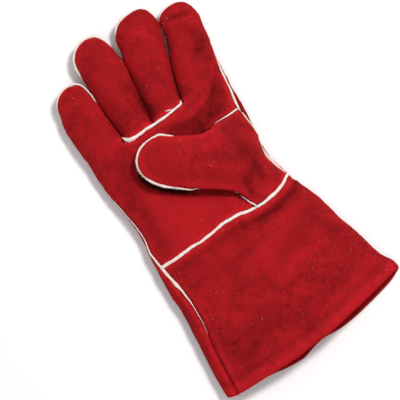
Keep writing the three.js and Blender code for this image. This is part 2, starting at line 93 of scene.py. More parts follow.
# ------------------------------------------------------------------ named sizes
FC = 26               # columns across one finger
STEP = 1.3            # mm between ribs
SLOT = 0.9            # from a seam line to each panel's edge
WALL, HEM_WALL, HEM = 1.7, 2.8, 11.5
BASE_Y, PALM_BASE_Y, CUFF_SEAM_V, THUMB_SEAM_Y = 89.0, 82.0, -36.0, 50.0
WEB_FRONT, WEB_BACK = 3.0, 4.0
SEAM_UP, SEAM_HIDDEN, SEAM_DOWN, SEAM_OVER = 10.0, -36.0, -15.0, 13.0
WAIST = 9.0
BACK_HEM_REACH = 2.5
WIDEN = 1.25          # fingers swell this much towards their neighbours
THUMB_CAP = (-21.6, 11.0)
TIP_LIFT = 4.5        # how far a fingertip's seam rises towards the palm side


def rows(names, table):
    return dict(zip(names.split(), np.array(table, float).T))


BODY = rows("v xl yl xr yr bow crown waist inL inR", [
    [-170, -84.5, -170, 117.6, -158.0, -12.0, 27.0, 9.5, 9.6, -6.0],
    [-160, -83.8, -160, 115.2, -147.6, -10.2, 27.3, 9.2, 10.3, -6.0],
    [-150, -83.0, -150, 109.8, -138.0, -8.5, 27.5, 9.0, 10.8, -6.0],
    [-130, -81.0, -130, 105.6, -119.0, -5.5, 27.5, 9.0, 11.0, -6.0],
    [-108, -77.5, -108, 101.0, -98.0, -3.5, 27.5, 9.0, 11.6, -6.0],
    [-85, -75.2, -85, 96.8, -76.5, -3.0, 27.0, 9.0, 11.7, -5.0],
    [-66, -74.8, -66, 92.0, -58.5, -3.0, 26.5, 9.0, 10.4, -3.5],
    [-46, -73.0, -46, 85.4, -39.0, -2.5, 25.5, 9.0, 6.4, -0.6],
    [-36, -72.2, -36, 82.4, -28.0, 0.0, 25.0, 9.0, 4.5, 1.0],
    [-20, -70.4, -20, 79.0, -14.0, 0.0, 24.5, 9.0, 1.6, 2.2],
    [-7, -67.4, -7, 76.8, -3.0, 0.0, 24.0, 9.0, 1.2, 2.2],
    [5, -66.4, 5, 77.1, 7.0, 0.0, 23.5, 9.0, 1.0, 1.2],
    [20, -67.6, 20, 79.8, 21.0, 0.0, 23.5, 9.0, 0.9, -0.2],
    [37, -68.8, 37, 82.0, 37.5, 0.0, 23.5, 9.0, 0.3, 2.4],
    [52, -70.2, 52, 84.2, 52.0, 0.0, 24.0, 9.0, -0.9, 5.6],
    [68, -70.2, 68, 85.5, 68.0, 0.0, 24.5, 9.0, -1.9, 3.6],
    [82, -69.6, 82, 87.0, 82.0, 0.0, 24.5, 9.0, -2.2, 2.6],
    [89, -69.4, 89, 87.5, 89.0, 0.0, 24.0, 9.0, -2.0, 2.4],
])
# widenL and widenR: height up the finger to which it presses on its neighbour; blunt: below 1
# the fingertip is squarer; seen, over: from where the left and the right piping are in view
FINGERS = [
    dict(name="little", tip=(-45.3, 159.7), blunt=0.85, widenL=0, widenR=146, seen=138, over=128, rows=rows("y left right crown", [
        [89, -69.4, -30.5, 24.0], [108, -70.4, -31.2, 21.5], [126, -69.4, -31.4, 20.5], [141, -65.8, -31.4, 20.0]])),
    dict(name="ring", tip=(-5.9, 189.9), blunt=0.80, widenL=138, widenR=156, seen=155, over=168, rows=rows("y left right crown", [
        [89, -26.5, 1.3, 24.5], [110, -27.8, 5.2, 23.5], [131, -28.2, 9.0, 22.5], [150, -28.6, 11.6, 22.0],
        [167, -28.4, 11.8, 21.5]])),
    dict(name="middle", tip=(43.2, 188.2), blunt=0.66, widenL=152, widenR=150, seen=173, over=0, rows=rows("y left right crown", [
        [89, 5.3, 36.0, 25.0], [110, 8.2, 42.6, 24.5], [131, 12.2, 50.4, 23.5], [150, 15.8, 57.8, 23.0],
        [165, 18.6, 63.6, 22.5]])),
    dict(name="index", tip=(80.1, 172.9), blunt=0.55, widenL=146, widenR=0, seen=164, over=0, rows=rows("y left right crown", [
        [89, 40.0, 87.5, 24.5], [108, 45.6, 90.4, 24.0], [130, 54.0, 95.4, 23.0], [150, 62.8, 100.2, 22.5]])),
]
CUFF_WAVE = rows("x dy", [
    [-72, 0], [-52, -2.4], [-37, -2.9], [-20, -4.1], [2, -2.9], [18, -4.7], [30, -7.7],
    [40, -9.2], [54, -9.2], [62, -7.9], [70, -5.7], [81, 0]])
CUFF_WAVE_REACH = 10.0
HEM_WAVE = rows("x front back", [      # the cuff's two edges don't lie quite alike
    [-84, -1.0, 0.0], [-72, -1.9, 0.4], [-50, -0.5, 2.9], [-36, 0.0, 2.7], [-20, 0.1, 0.9], [-5, 0.6, 0.1],
    [2, 0.8, 1.4], [12, 0.8, 3.7], [24, 0.7, 4.2], [33, 0.9, 2.5], [42, 1.3, 1.0], [54, 1.8, 0.0],
    [68, 1.6, -0.6], [82, 1.3, -1.3], [92, 0.9, -1.9], [105, 0.3, -2.6], [118, -1.0, -1.8]])
PALM_WAVE = rows("x dy", [
    [-38, 0], [-30.5, 2.6], [-27.5, 0.2], [-23, -1.8], [-15, -2.3], [-6.7, -1.0], [4, -1.4],
    [21.6, -0.9], [32, 1.2], [37.5, 3.6], [44, 0]])
PALM_EDGE = rows("y x", [
    [-40, 38.0], [-30, 34.0], [-21, 30.4], [-8, 31.0], [10, 34.0], [26, 39.0], [40, 45.0], [50, 50.0]])
THUMB = rows("v lx ly liftL ux uy liftU top edge drop", [
    [1, 69.0, -34.5, 0.0, 71.0, 50.0, 0.0, 25.5, 2.0, 0],
    [2, 57.5, -37.3, 0.0, 64.0, 50.0, 0.0, 32.0, 2.0, 0],
    [3, 46.0, -38.4, 0.0, 57.5, 50.0, 0.0, 36.5, 1.9, 0],
    [4, 36.5, -35.0, 0.2, 52.0, 49.8, 0.2, 39.5, 1.6, 0],
    [5, 30.4, -21.7, 3.5, 46.0, 48.6, 1.2, 41.5, 1.3, 0.6],
    [6, 23.0, -13.0, 8.0, 38.3, 46.7, 6.5, 43.0, 1.1, 4.0],
    [7, 10.0, -3.5, 10.0, 27.0, 48.5, 9.5, 43.5, 1.0, 6.2],
    [8, -6.6, 8.6, 10.5, 11.0, 57.5, 10.0, 43.5, 1.0, 6.8],
    [9, -21.6, 22.2, 10.5, -1.2, 66.8, 10.0, 42.5, 1.0, 6.8],
])
# Dents of the hand's section itself, and finer folds laid over every panel's upper side.
# long is half a valley's length; a ridge has a negative depth; dark is how much
# painted shade lies in it.
FOLDS = rows("x y dir long wide deep", [
    [2, 26, 155, 46, 26, 2.6], [20, -98, 24, 60, 13, 1.2], [62, -120, 100, 40, 12, 1.2],
    [58, 72, 120, 30, 7, 1.6], [-30, 50, 60, 34, 11, 1.0]])
CREASES = rows("x y dir long wide deep dark", [
    [5.6, 101, 86, 11, 3.4, 0.8, 0.55],        # ring finger, near its root
    [-2.0, 128, 80, 14, 5.0, 0.3, 0.25],
    [81, 121, 39, 15, 4.0, 0.6, 0.45],         # across the index finger
    [82, 158, -16, 10, 3.0, 0.5, 1.1],         # index fingertip
    [36, 150, 96, 12, 4.5, 0.3, 0.25],         # middle finger
    [30, 118, 98, 16, 5.5, 0.3, 0.20],
    [-50, 120, 94, 16, 5.0, 0.3, 0.20],
    [40, -24, 78, 9, 4.2, 1.5, 0.60],          # dent where the thumb's lower side folds
    [58, -14, 96, 12, 5.0, 0.7, 0.35],
    [64, 2, 70, 14, 6.0, 0.5, 0.30],
    [-52, 8, 84, 34, 7.0, 0.5, 0.25],          # slack down the hand's left side
    [-44, 60, 70, 22, 7.0, 0.5, 0.25],
    [34, -92, 20, 46, 9.0, 0.5, 0.22],         # cuff waves
    [-20, -126, 12, 40, 9.0, 0.5, 0.22],
    [78, -84, 108, 26, 7.0, 0.6, 0.30],
    [8, -70, 4, 40, 6.0, 0.3, 0.20],
    [60, -140, 16, 34, 6.0, 0.4, 0.20],
])

NAP_AND_SHADE_PATCHES = rows("x y dir long wide dark", [     # broad patches painted darker: some where the nap lies dark, some painted shade beside folds
    [70, 117, 84, 20, 10.0, 0.08], [-17, 110, 95, 16, 8.0, 0.14], [-4, 36, 100, 30, 28.0, 0.05], [-52, 70, 90, 24, 12.0, 0.08], [-40, -152, 12, 24, 12.0, 0.08],
    [6, 110, 88, 20, 8.0, 0.42], [-22, 128, 100, 16, 8.0, 0.10],
    [84, 128, 84, 24, 10.0, 0.38], [76, 100, 60, 16, 10.0, 0.24], [70, 140, 80, 14, 10.0, 0.06],
    [34, 118, 100, 22, 9.0, 0.10], [-52, 110, 95, 22, 10.0, 0.08],
    [60, 24, 80, 24, 13.0, 0.34], [56, -4, 70, 18, 9.0, 0.24], [34, 6, 60, 18, 12.0, 0.16], [70, -20, 60, 10, 6.0, 0.3],
    [44, -12, 30, 9, 6.0, 0.3], [72, 34, 100, 16, 8.0, 0.2],
    [-58, 20, 96, 50, 9.0, 0.30], [-18, 32, 120, 18, 14.0, 0.07],
    [-42, -62, 70, 20, 12.0, 0.18], [-56, -140, 95, 26, 12.0, 0.26], [-20, -140, 10, 36, 12.0, 0.33], [40, -140, 18, 40, 12.0, 0.20],
    [84, -66, 110, 22, 8.0, 0.22], [90, -110, 100, 26, 10.0, 0.12], [20, -64, 10, 30, 8.0, 0.12], [-64, -100, 92, 30, 6.0, 0.16]])


def at(t, by, key, v):
    """A smooth curve through one column of a table."""
    v = np.asarray(v, float)
    X, Y = t[by], t[key]
    n = len(X)
    i = np.searchsorted(X[1:n - 1], v, side="left")
    s = np.empty(n)
    s[1:-1] = (Y[2:] - Y[:-2]) / (X[2:] - X[:-2])
    s[0] = (Y[1] - Y[0]) / (X[1] - X[0])
    s[-1] = (Y[-1] - Y[-2]) / (X[-1] - X[-2])
    h = X[i + 1] - X[i]
    u = np.clip((v - X[i]) / h, -0.2, 1.2)
    u2, u3 = u * u, u * u * u
    return ((2 * u3 - 3 * u2 + 1) * Y[i] + (u3 - 2 * u2 + u) * h * s[i]
            + (3 * u2 - 2 * u3) * Y[i + 1] + (u3 - u2) * h * s[i + 1])


def mix(a, b, t):
    return a + (b - a) * t


def smooth(t):
    c = np.clip(t, 0, 1)
    return c * c * (3 - 2 * c)


def vec(x, y, z):
    return np.stack(np.broadcast_arrays(x, y, z), -1).astype(float)


def unit(a):
    return a / np.maximum(np.linalg.norm(a, axis=-1, keepdims=True), 1e-12)


def waves(P, size, seed, n=16):
    """A smooth random field of about the given feature size, with a spread of 1."""
    r = np.random.default_rng(seed)
    d = unit(r.normal(size=(n, 3)))
    k = 2 * PI / size * r.uniform(0.6, 1.5, (n, 1)) * d
    return np.cos(P @ k.T + r.uniform(0, 2 * PI, n)).sum(-1) / math.sqrt(n / 2)


def folds(t, x, y, key="deep"):
    d = np.zeros(np.broadcast(x, y).shape)
    for i in range(len(t["x"])):
        c, s = math.cos(math.radians(t["dir"][i])), math.sin(math.radians(t["dir"][i]))
        along = (x - t["x"][i]) * c + (y - t["y"][i]) * s
        across = (y - t["y"][i]) * c - (x - t["x"][i]) * s
        d = d + t[key][i] * np.exp(-(across / t["wide"][i]) ** 2 - (along / t["long"][i]) ** 4)
    return d


# Radius of the piping along the side seams, by station, and round the thumb, by x. Where it is
# thin the panels close up on it.
def profile(text):
    x, r = np.array([[float(n) for n in pair.split(":")] for pair in text.split()]).T
    return lambda v: np.interp(v, x, r)


LEFT_R = profile("-112:.15 -104:.16 -92:.25 -78:.6 -66:1.05 -56:1.5 -44:1.4 -34:1.2 -24:1.0 -12:.6 6:.5 20:.35 44:.3 89:.8")
RIGHT_R = profile("-37:.4 -34:.5 -27:.6 -22:1.35 -8:1.2 2:.7 8:.35 26:.35 34:.6 46:.95 54:1.15 70:1.05 89:.9")
THUMB_LOW_R = profile("-43:1.6 -34:1.75 -22:1.5 -12:1.2 -6:.75 -2:.45 2:.25 6:.2 29:.2 32:.5 37:.55 40:1.4")
THUMB_UP_R = profile("-43:1.6 -30:1.55 -8:1.5 2:1.25 8:.75 12:.3 15:.2 46:.2 51:.25 56:.4 64:.65 72:.95 80:1.1")


def slot_for(r):
    return np.clip(np.asarray(r) - 0.35, 0.1, SLOT)


# ------------------------------------------------------------------ hand and cuff
def dome(v, phi, back=False):
    """The closed section at station v; phi 0 right, 90 top, 180 left, 270 under."""
    g = lambda k: at(BODY, "v", k, v)
    xl, xr, waist = g("xl"), g("xr"), g("waist")
    c, s = np.cos(phi), np.sin(phi)
    t = (1 + c) / 2
    reach = BACK_HEM_REACH * smooth((-np.asarray(v, float) - 145) / 25) if back else 0.0
    x = mix(xl, xr, t)
    wave = at(CUFF_WAVE, "x", "dy", np.clip(x, -72, 81)) * np.exp(-((v - CUFF_SEAM_V) / CUFF_WAVE_REACH) ** 2)
    y = mix(g("yl"), g("yr"), t) + (g("bow") - reach) * 4 * t * (1 - t) + wave
    xx = np.clip(x, -84, 118)
    y = y + mix(at(HEM_WAVE, "x", "back", xx), at(HEM_WAVE, "x", "front", xx), smooth(s * 2 + 0.5)) * smooth((-np.asarray(v, float) - 148) / 22)
    up, dn = np.clip(s, 0, 1) ** 0.85, np.clip(-s, 0, 1) ** 0.85
    z = np.where(s >= 0, waist + (g("crown") - waist) * up, np.maximum(0, waist * (1 - 1.25 * dn)))
    z = z - np.where(s > 0, folds(FOLDS, x, y) * smooth(s * 1.6), 0)
    return vec(x, y, z)


def seam_angle(v, side):
    half = (at(BODY, "v", "xr", v) - at(BODY, "v", "xl", v)) / 2
    inset = at(BODY, "v", "inL" if side < 0 else "inR", v)
    return np.sign(inset) * np.arccos(1 - np.abs(inset) / half)


def arc(curve, phi, distance):
    """Angle at a distance along a curve of angles."""
    ph = phi + math.copysign(1, distance) * np.linspace(0, 1.3, 131)
    p = curve(ph)
    s = np.r_[0, np.cumsum(np.linalg.norm(np.diff(p, axis=0), axis=1))]
    return float(np.interp(abs(distance), s, ph))


def top_at(x, y):
    v = np.array(y, float)
    for _ in range(10):
        xl, xr = at(BODY, "v", "xl", v), at(BODY, "v", "xr", v)
        phi = np.arccos(np.clip(2 * (x - xl) / (xr - xl) - 1, -1, 1))
        v = v + y - dome(v, phi)[..., 1]
    return dome(v, phi)[..., 2]


# ------------------------------------------------------------------ fingers
def finger_section(k, y, cap=0.0):
    f = FINGERS[k]
    t, last = f["rows"], f["rows"]["y"][-1]
    yy = min(y, last)
    wl = WIDEN * (1 - smooth((yy - f["widenL"]) / 9)) if f["widenL"] else 0.0
    wr = WIDEN * (1 - smooth((yy - f["widenR"]) / 9)) if f["widenR"] else 0.0
    left, right = float(at(t, "y", "left", yy)) - wl, float(at(t, "y", "right", yy)) + wr
    c, s = math.cos(cap), math.sin(cap)
    half, length = (right - left) / 2, f["tip"][1] - last
    lean = half * f["blunt"] * s * max(c, 1e-3) ** (f["blunt"] - 2) / length if cap else 0.0
    return dict(x=mix((left + right) / 2, f["tip"][0], s * s if cap else 0), y=mix(last, f["tip"][1], s) if cap else y,
                half=half * c ** f["blunt"], lean=math.sqrt(1 + lean * lean), crown=float(at(t, "y", "crown", yy)), c=c,
                waist=WAIST + TIP_LIFT * s * s)


def finger_point(sec, phi):
    s, waist = np.sin(phi), sec["waist"]
    z = np.where(s >= 0, (sec["crown"] - waist) * np.clip(s, 0, 1) ** 0.9,
                 np.maximum(-waist, -waist * 1.2 * np.clip(-s, 0, 1) ** 0.85))
    return vec(sec["x"] + sec["half"] * np.cos(phi), sec["y"] + 0 * phi, waist + z * sec["c"] ** 0.85)


def finger_seams(k, sec, cap=0.0):
    f, away = FINGERS[k], float(smooth((sec["y"] - BASE_Y) / 9))
    shown = float(smooth((sec["y"] - f["seen"]) / (9 if k else 14)))
    up = math.radians(mix(SEAM_HIDDEN if k else -20, SEAM_UP, shown))
    over = float(smooth((sec["y"] - f["over"]) / 9)) if f["over"] else 0.0
    down = math.radians(mix(SEAM_DOWN, SEAM_OVER, over))
    if k == 0:
        inset = BODY["inL"][-1]
        up = mix(math.copysign(math.acos(max(-1, 1 - abs(inset) / sec["half"])), inset), up, away)
    if k == 3:
        down = mix(math.acos(max(-1, 1 - BODY["inR"][-1] / sec["half"])), down, float(smooth((sec["y"] - BASE_Y) / 36)))
    return PI - up, down


def finger_edges(k, sec, cap=0.0):
    away = float(smooth((sec["y"] - BASE_Y) / 9))
    curve = lambda p: finger_point(sec, p)
    seamL, seamR = finger_seams(k, sec, cap)
    slot = min(0.5 * sec["lean"], sec["half"] * 0.98)
    e = dict(frontL=arc(curve, seamL, -slot), frontR=arc(curve, seamR, slot),
             backL=arc(curve, seamL, slot), backR=arc(curve, 2 * PI + seamR, -slot))
    if k > 0:
        e["frontL"] = mix(PI - math.radians(WEB_FRONT), e["frontL"], away)
        e["backL"] = mix(PI + math.radians(WEB_BACK), e["backL"], away)
    if k < 3:
        e["frontR"] = mix(math.radians(WEB_FRONT), e["frontR"], away)
        e["backR"] = mix(2 * PI - math.radians(WEB_BACK), e["backR"], away)
    return e


def finger_rib(k, sec, side, cap=0.0):
    e = finger_edges(k, sec, cap)
    a, b = (e["frontL"], e["frontR"]) if side == "front" else (e["backL"], e["backR"])
    phi = mix(a, b, np.arange(FC + 1) / FC)
    return finger_point(sec, phi), phi


CAPS = np.radians([5, 10, 15, 20, 25, 30, 35, 40, 45, 50, 55, 60, 64, 68, 72, 76, 80, 83, 86, 88.5])


def finger_sections(k):
    last = FINGERS[k]["rows"]["y"][-1]
    n = int((last - BASE_Y) / STEP)
    return ([(finger_section(k, y), 0.0) for y in np.linspace(BASE_Y, last, n + 1)[1:]]
            + [(finger_section(k, last, c), c) for c in CAPS])


BASE = {}
for side in ("front", "back"):
    pts, phis = zip(*[finger_rib(k, finger_section(k, BASE_Y), side) for k in range(4)])
    pts, phis = np.concatenate(pts), np.concatenate(phis)
    xc, half = (BODY["xl"][-1] + BODY["xr"][-1]) / 2, (BODY["xr"][-1] - BODY["xl"][-1]) / 2
    a = np.arccos(np.clip((pts[:, 0] - xc) / half, -1, 1))
    turn = np.where(np.sin(phis) >= 0, np.where(phis > 6, 2 * PI + a, a), 2 * PI - a)
    if side == "front":   # seams a little under the waist turn on past 0 and 180 degrees
        turn = np.where(np.sin(phis) >= 0, a, np.where(phis > 2, 2 * PI - a, -a))
    BASE[side] = (pts, turn)
COLS = 4 * (FC + 1) - 1
THUMB_COL = 3 * (FC + 1) + round(0.4 * FC)
M0, M1 = FC + 1, 3 * (FC + 1)


def body_rib(v, side, edge=None):
    back = side == "back"
    base, turn = BASE[side]
    curve = lambda p: dome(v, p, back)
    sL, sR = PI - float(seam_angle(v, -1)), float(seam_angle(v, 1))
    gapL, gapR = float(slot_for(LEFT_R(v))), float(slot_for(RIGHT_R(v)))
    last = COLS
    if back:
        a, b = arc(curve, sL, gapL), arc(curve, 2 * PI + sR, -gapR)
    else:
        a, b = arc(curve, sL, -gapL), arc(curve, sR, gapR)
        if edge is not None:
            last = THUMB_COL
            l, r = curve(np.array([PI, 0.0]))[:, 0]
            b = math.acos(np.clip(2 * (edge - l) / (r - l) - 1, -1, 1))
    t = (turn[:last + 1] - turn[0]) / (turn[last] - turn[0])
    q = curve(mix(a, b, t))
    if edge is None:
        p = base[:last + 1]
        xl, xr = curve(np.array([PI, 0.0]))[:, 0]
        bx = mix(xl, xr, (p[:, 0] - BODY["xl"][-1]) / (BODY["xr"][-1] - BODY["xl"][-1]))
        d = BASE_Y - min(v, BASE_Y)
        away = np.where((p[:, 2] > q[:, 2]) != back, 8.0, 5.5)
        blend = np.exp(-(d / away) ** 1.3)[:, None]
        q = mix(q, vec(bx, q[:, 1], p[:, 2]), blend)
        if v == BASE_Y:
            q = p.copy()
    if not back:
        q[:, 1] += at(PALM_WAVE, "x", "dy", np.clip(q[:, 0], -38, 44)) * math.exp(-((v - PALM_BASE_Y) / 4.5) ** 2) * (v < BASE_Y)
    return q


def stations(a, b, step=STEP):
    return np.linspace(a, b, max(2, int(round(abs(b - a) / step)) + 1))


# ------------------------------------------------------------------ thumb
def thumb_rib(v, cap=0.0):
    g = lambda k: float(at(THUMB, "v", k, v))
    L, U = np.array([g("lx"), g("ly"), 0]), np.array([g("ux"), g("uy"), 0])
    zl, zu = float(top_at(L[0], L[1])) + g("liftL"), float(top_at(U[0], U[1])) + g("liftU")
    mid, half = (L + U) / 2, (U - L) / 2
    c, s = math.cos(cap), math.sin(cap)
    s1 = s ** 1.6 if cap else 0.0
    mid = mid + np.array([THUMB_CAP[0] * s1, THUMB_CAP[1] * s1, 0])
    half = half * c ** 0.91
    seam = (zl + zu) / 2
    tall, edge, drop = g("top") - seam, g("edge"), g("drop")

    def curve(phi):
        k, sn = np.cos(phi), np.sin(phi)
        p = mid + k[..., None] * half
        z = seam + (zu - zl) / 2 * k * c + np.where(
            sn >= 0, tall * np.clip(sn, 0, 1) ** edge, -drop * np.clip(-sn, 0, 1) ** 0.8) * c ** 0.85
        p[..., 2] = z
        return p
    return curve


THUMB_COLS = 54


def thumb_slots(curve, cap):
    p = curve(np.array([PI, 0.0]))
    w = np.linalg.norm(p[1] - p[0])
    return [min(float(slot_for(r(x))) / math.cos(cap), w * 0.4) for r, x in ((THUMB_LOW_R, p[0, 0]), (THUMB_UP_R, p[1, 0]))]


def outer_rib(curve, cap=0.0):
    lo, up = thumb_slots(curve, cap)
    return curve(mix(arc(curve, PI, -lo), arc(curve, 0.0, up), np.arange(THUMB_COLS + 1) / THUMB_COLS))


def inner_rib(curve, cap=0.0):
    lo, up = thumb_slots(curve, cap)
    return curve(mix(arc(curve, PI, lo + 0.4), arc(curve, 2 * PI, -up - 0.4), np.arange(THUMB_COLS + 1) / THUMB_COLS))


# ------------------------------------------------------------------ seam lines
def line(points):
    """A dense copy of a path, 0.4 mm between points."""
    p = np.asarray(points, float)
    s = np.r_[0, np.cumsum(np.linalg.norm(np.diff(p, axis=0), axis=1))]
    q = np.linspace(0, s[-1], max(2, int(s[-1] / 0.4)))
    return np.stack([np.interp(q, s, p[:, i]) for i in range(3)], 1)


def body_seam(v0, v1, side, back=False):
    vs = stations(v0, v1, 0.8)
    a = seam_angle(vs, side)
    return dome(vs, PI - a if side < 0 else a, back)


def finger_seam(k, side):
    out = []
    for sec, cap in [(finger_section(k, BASE_Y), 0.0)] + finger_sections(k) + [
            (finger_section(k, 999, math.radians(c)), math.radians(c)) for c in (87, 89.9)]:
        L, R = finger_seams(k, sec, cap)
        out.append(finger_point(sec, np.array([L if side < 0 else R]))[0])
    return np.array(out)


SEAM = {}
SEAM["left"] = line(body_seam(-170, BASE_Y, -1))
SEAM["right_cuff"] = line(body_seam(-170, CUFF_SEAM_V, 1))
SEAM["right_thumb"] = line(body_seam(CUFF_SEAM_V, THUMB_SEAM_Y, 1))
SEAM["right_index"] = line(body_seam(THUMB_SEAM_Y, BASE_Y, 1))
SEAM["cuff"] = line(dome(CUFF_SEAM_V, np.linspace(PI - float(seam_angle(CUFF_SEAM_V, -1)), float(seam_angle(CUFF_SEAM_V, 1)), 200)))
SEAM["palm_base"] = line(body_rib(PALM_BASE_Y, "front")[M0 - 1:M1 + 1])
for k, f in enumerate(FINGERS):
    SEAM[f["name"]] = line(np.concatenate([finger_seam(k, -1), finger_seam(k, 1)[::-1]]))
SEAM["hem_front"] = line(dome(-170, np.linspace(PI - float(seam_angle(-170, -1)), float(seam_angle(-170, 1)), 200)))
SEAM["hem_back"] = line(dome(-170, np.linspace(PI - float(seam_angle(-170, -1)), 2 * PI + float(seam_angle(-170, 1)), 200), True))
_tv = stations(5, 9, 0.06)
_tc = np.radians([0, 8, 16, 24, 32, 40, 48, 55, 62, 68, 74, 79, 84, 89.9])
SEAM["thumb"] = line(np.concatenate([
    [thumb_rib(v)(np.array([PI]))[0] for v in _tv], [thumb_rib(9, c)(np.array([PI]))[0] for c in _tc[1:]],
    [thumb_rib(9, c)(np.array([0.0]))[0] for c in _tc[1:][::-1]], [thumb_rib(v)(np.array([0.0]))[0] for v in _tv[::-1]]]))
SEAM["thumb_lower"] = line([thumb_rib(v)(np.array([PI]))[0] for v in stations(4.15, 5, 0.05)])
SEAM["thumb_upper"] = line([thumb_rib(v)(np.array([0.0]))[0] for v in stations(1, 5, 0.08)] )


class Field:
    """Distance to the nearest of some seam lines, and the distance along it."""
    def __init__(self, names):
        pts = np.concatenate([SEAM[n] for n in names])
        run = np.concatenate([np.arange(len(SEAM[n])) * 0.4 + 900 * i for i, n in enumerate(names)])
        self.tree = kdtree.KDTree(len(pts))
        for i, p in enumerate(pts):
            self.tree.insert(p, i)
        self.tree.balance()
        self.run = run

    def __call__(self, P):
        found = [self.tree.find(p)[1:] for p in P]
        return np.array([f[1] for f in found]), self.run[[f[0] for f in found]]


# ------------------------------------------------------------------ panels
class Panel:
    def __init__(self, name):
        self.name, self.P, self.F, self.n = name, [], [], 0

    def patch(self, ribs, flip=False):
        G = np.stack(ribs)
        n, m, _ = G.shape
        ids = self.n + np.arange(n * m).reshape(n, m)
        self.P.append(G.reshape(-1, 3))
        self.n += n * m
        a, b, c, d = (ids[:-1, :-1].ravel(), ids[:-1, 1:].ravel(), ids[1:, 1:].ravel(), ids[1:, :-1].ravel())
        P = G.reshape(-1, 3)
        o = ids[0, 0]
        near = np.linalg.norm(P[a - o] - P[c - o], axis=1) < np.linalg.norm(P[b - o] - P[d - o], axis=1)
        t1 = np.where(near[:, None], np.stack([a, b, c], 1), np.stack([a, b, d], 1))
        t2 = np.where(near[:, None], np.stack([a, c, d], 1), np.stack([b, c, d], 1))
        f = np.concatenate([t1, t2])
        self.F.append(f[:, ::-1] if flip else f)

    def weld(self):
        P, F = np.concatenate(self.P), np.concatenate(self.F)
        key = np.round(P * 200).astype(np.int64)
        _, first, inv = np.unique(key, axis=0, return_index=True, return_inverse=True)
        F = inv.reshape(-1)[F]
        F = F[(F[:, 0] != F[:, 1]) & (F[:, 1] != F[:, 2]) & (F[:, 2] != F[:, 0])]
        self.V, self.F = P[first], F
        return self

    def normals(self):
        V, F = self.V, self.F
        fn = np.cross(V[F[:, 1]] - V[F[:, 0]], V[F[:, 2]] - V[F[:, 0]])
        N = np.zeros_like(V)
        for i in range(3):
            np.add.at(N, F[:, i], fn)
        return unit(N)

    def close(self, thick):
        """Outer sheet, inner sheet and the strip between their edges."""
        N, n = self.normals(), len(self.V)
        inner = self.V - N * thick[:, None]
        F = self.F
        e = np.concatenate([F[:, [0, 1]], F[:, [1, 2]], F[:, [2, 0]]])
        key, back = e[:, 0] * n + e[:, 1], e[:, 1] * n + e[:, 0]
        e = e[~np.isin(key, back)]
        a, b = e[:, 0], e[:, 1]
        strip = np.concatenate([np.stack([b, a, n + a], 1), np.stack([b, n + a, n + b], 1)])
        self.outer_faces = len(F)
        return np.concatenate([self.V, inner]), np.concatenate([F, F[:, ::-1] + n, strip])


def mesh_object(name, V, F, material, tone=None, smooth_angle=50):
    me = bpy.data.meshes.new(name)
    me.from_pydata(row(V).tolist(), [], [tuple(f) for f in F.tolist()])
    me.update()
    me.polygons.foreach_set("use_smooth", [True] * len(me.polygons))
    me.set_sharp_from_angle(angle=math.radians(smooth_angle))
    if tone is not None:
        at_ = me.attributes.new("tone", "FLOAT_COLOR", "POINT")
        at_.data.foreach_set("color", np.concatenate([tone, np.ones((len(tone), 1))], 1).astype(np.float32).ravel())
    me.materials.append(material)
    o = bpy.data.objects.new(name, me)
    scene.collection.objects.link(o)
    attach(o, "root")
    return o


# ------------------------------------------------------------------ materials
def nodes_of(name):
    m = bpy.data.materials.new(name)
    m.use_nodes = True
    nt = m.node_tree
    b = nt.nodes["Principled BSDF"]
    new = lambda kind, **kw: _new(nt, kind, **kw)
    return m, nt, b, new


def _new(nt, kind, **kw):
    n = nt.nodes.new(kind)
    for k, v in kw.items():
        setattr(n, k, v)
    return n


def noise_node(nt, new, coord, scale, detail=3.0, rough=0.55, warp=0.0):
    n = new("ShaderNodeTexNoise")
    n.inputs["Scale"].default_value = scale
    n.inputs["Detail"].default_value = detail
    n.inputs["Roughness"].default_value = rough
    n.inputs["Distortion"].default_value = warp
    nt.links.new(coord, n.inputs["Vector"])
    return n.outputs["Fac"]


def remap(nt, new, value, lo, hi, a=0.0, b=1.0):
    n = new("ShaderNodeMapRange", interpolation_type="SMOOTHSTEP")
    for i, x in zip(("From Min", "From Max", "To Min", "To Max"), (lo, hi, a, b)):
        n.inputs[i].default_value = x
    nt.links.new(value, n.inputs["Value"])
    return n.outputs["Result"]


def math_node(nt, new, op, a, b):
    n = new("ShaderNodeMath", operation=op)
    for i, x in enumerate((a, b)):
        if isinstance(x, (int, float)):
            n.inputs[i].default_value = x
        else:
            nt.links.new(x, n.inputs[i])
    return n.outputs[0]


def mix_color(nt, new, fac, a, b):
    n = new("ShaderNodeMix", data_type="RGBA")
    for sock, x in ((n.inputs[0], fac), (n.inputs[6], a), (n.inputs[7], b)):
        if isinstance(x, tuple):
            sock.default_value = (*x, 1) if len(x) == 3 else x
        elif isinstance(x, (int, float)):
            sock.default_value = x
        else:
            nt.links.new(x, sock)
    return n.outputs[2]


RED_BRIGHT, RED, RED_DARK, RED_DEEP = (0.52, 0.0120, 0.0175), (0.350, 0.0084, 0.0118), (0.200, 0.0054, 0.0068), (0.030, 0.0012, 0.0014)


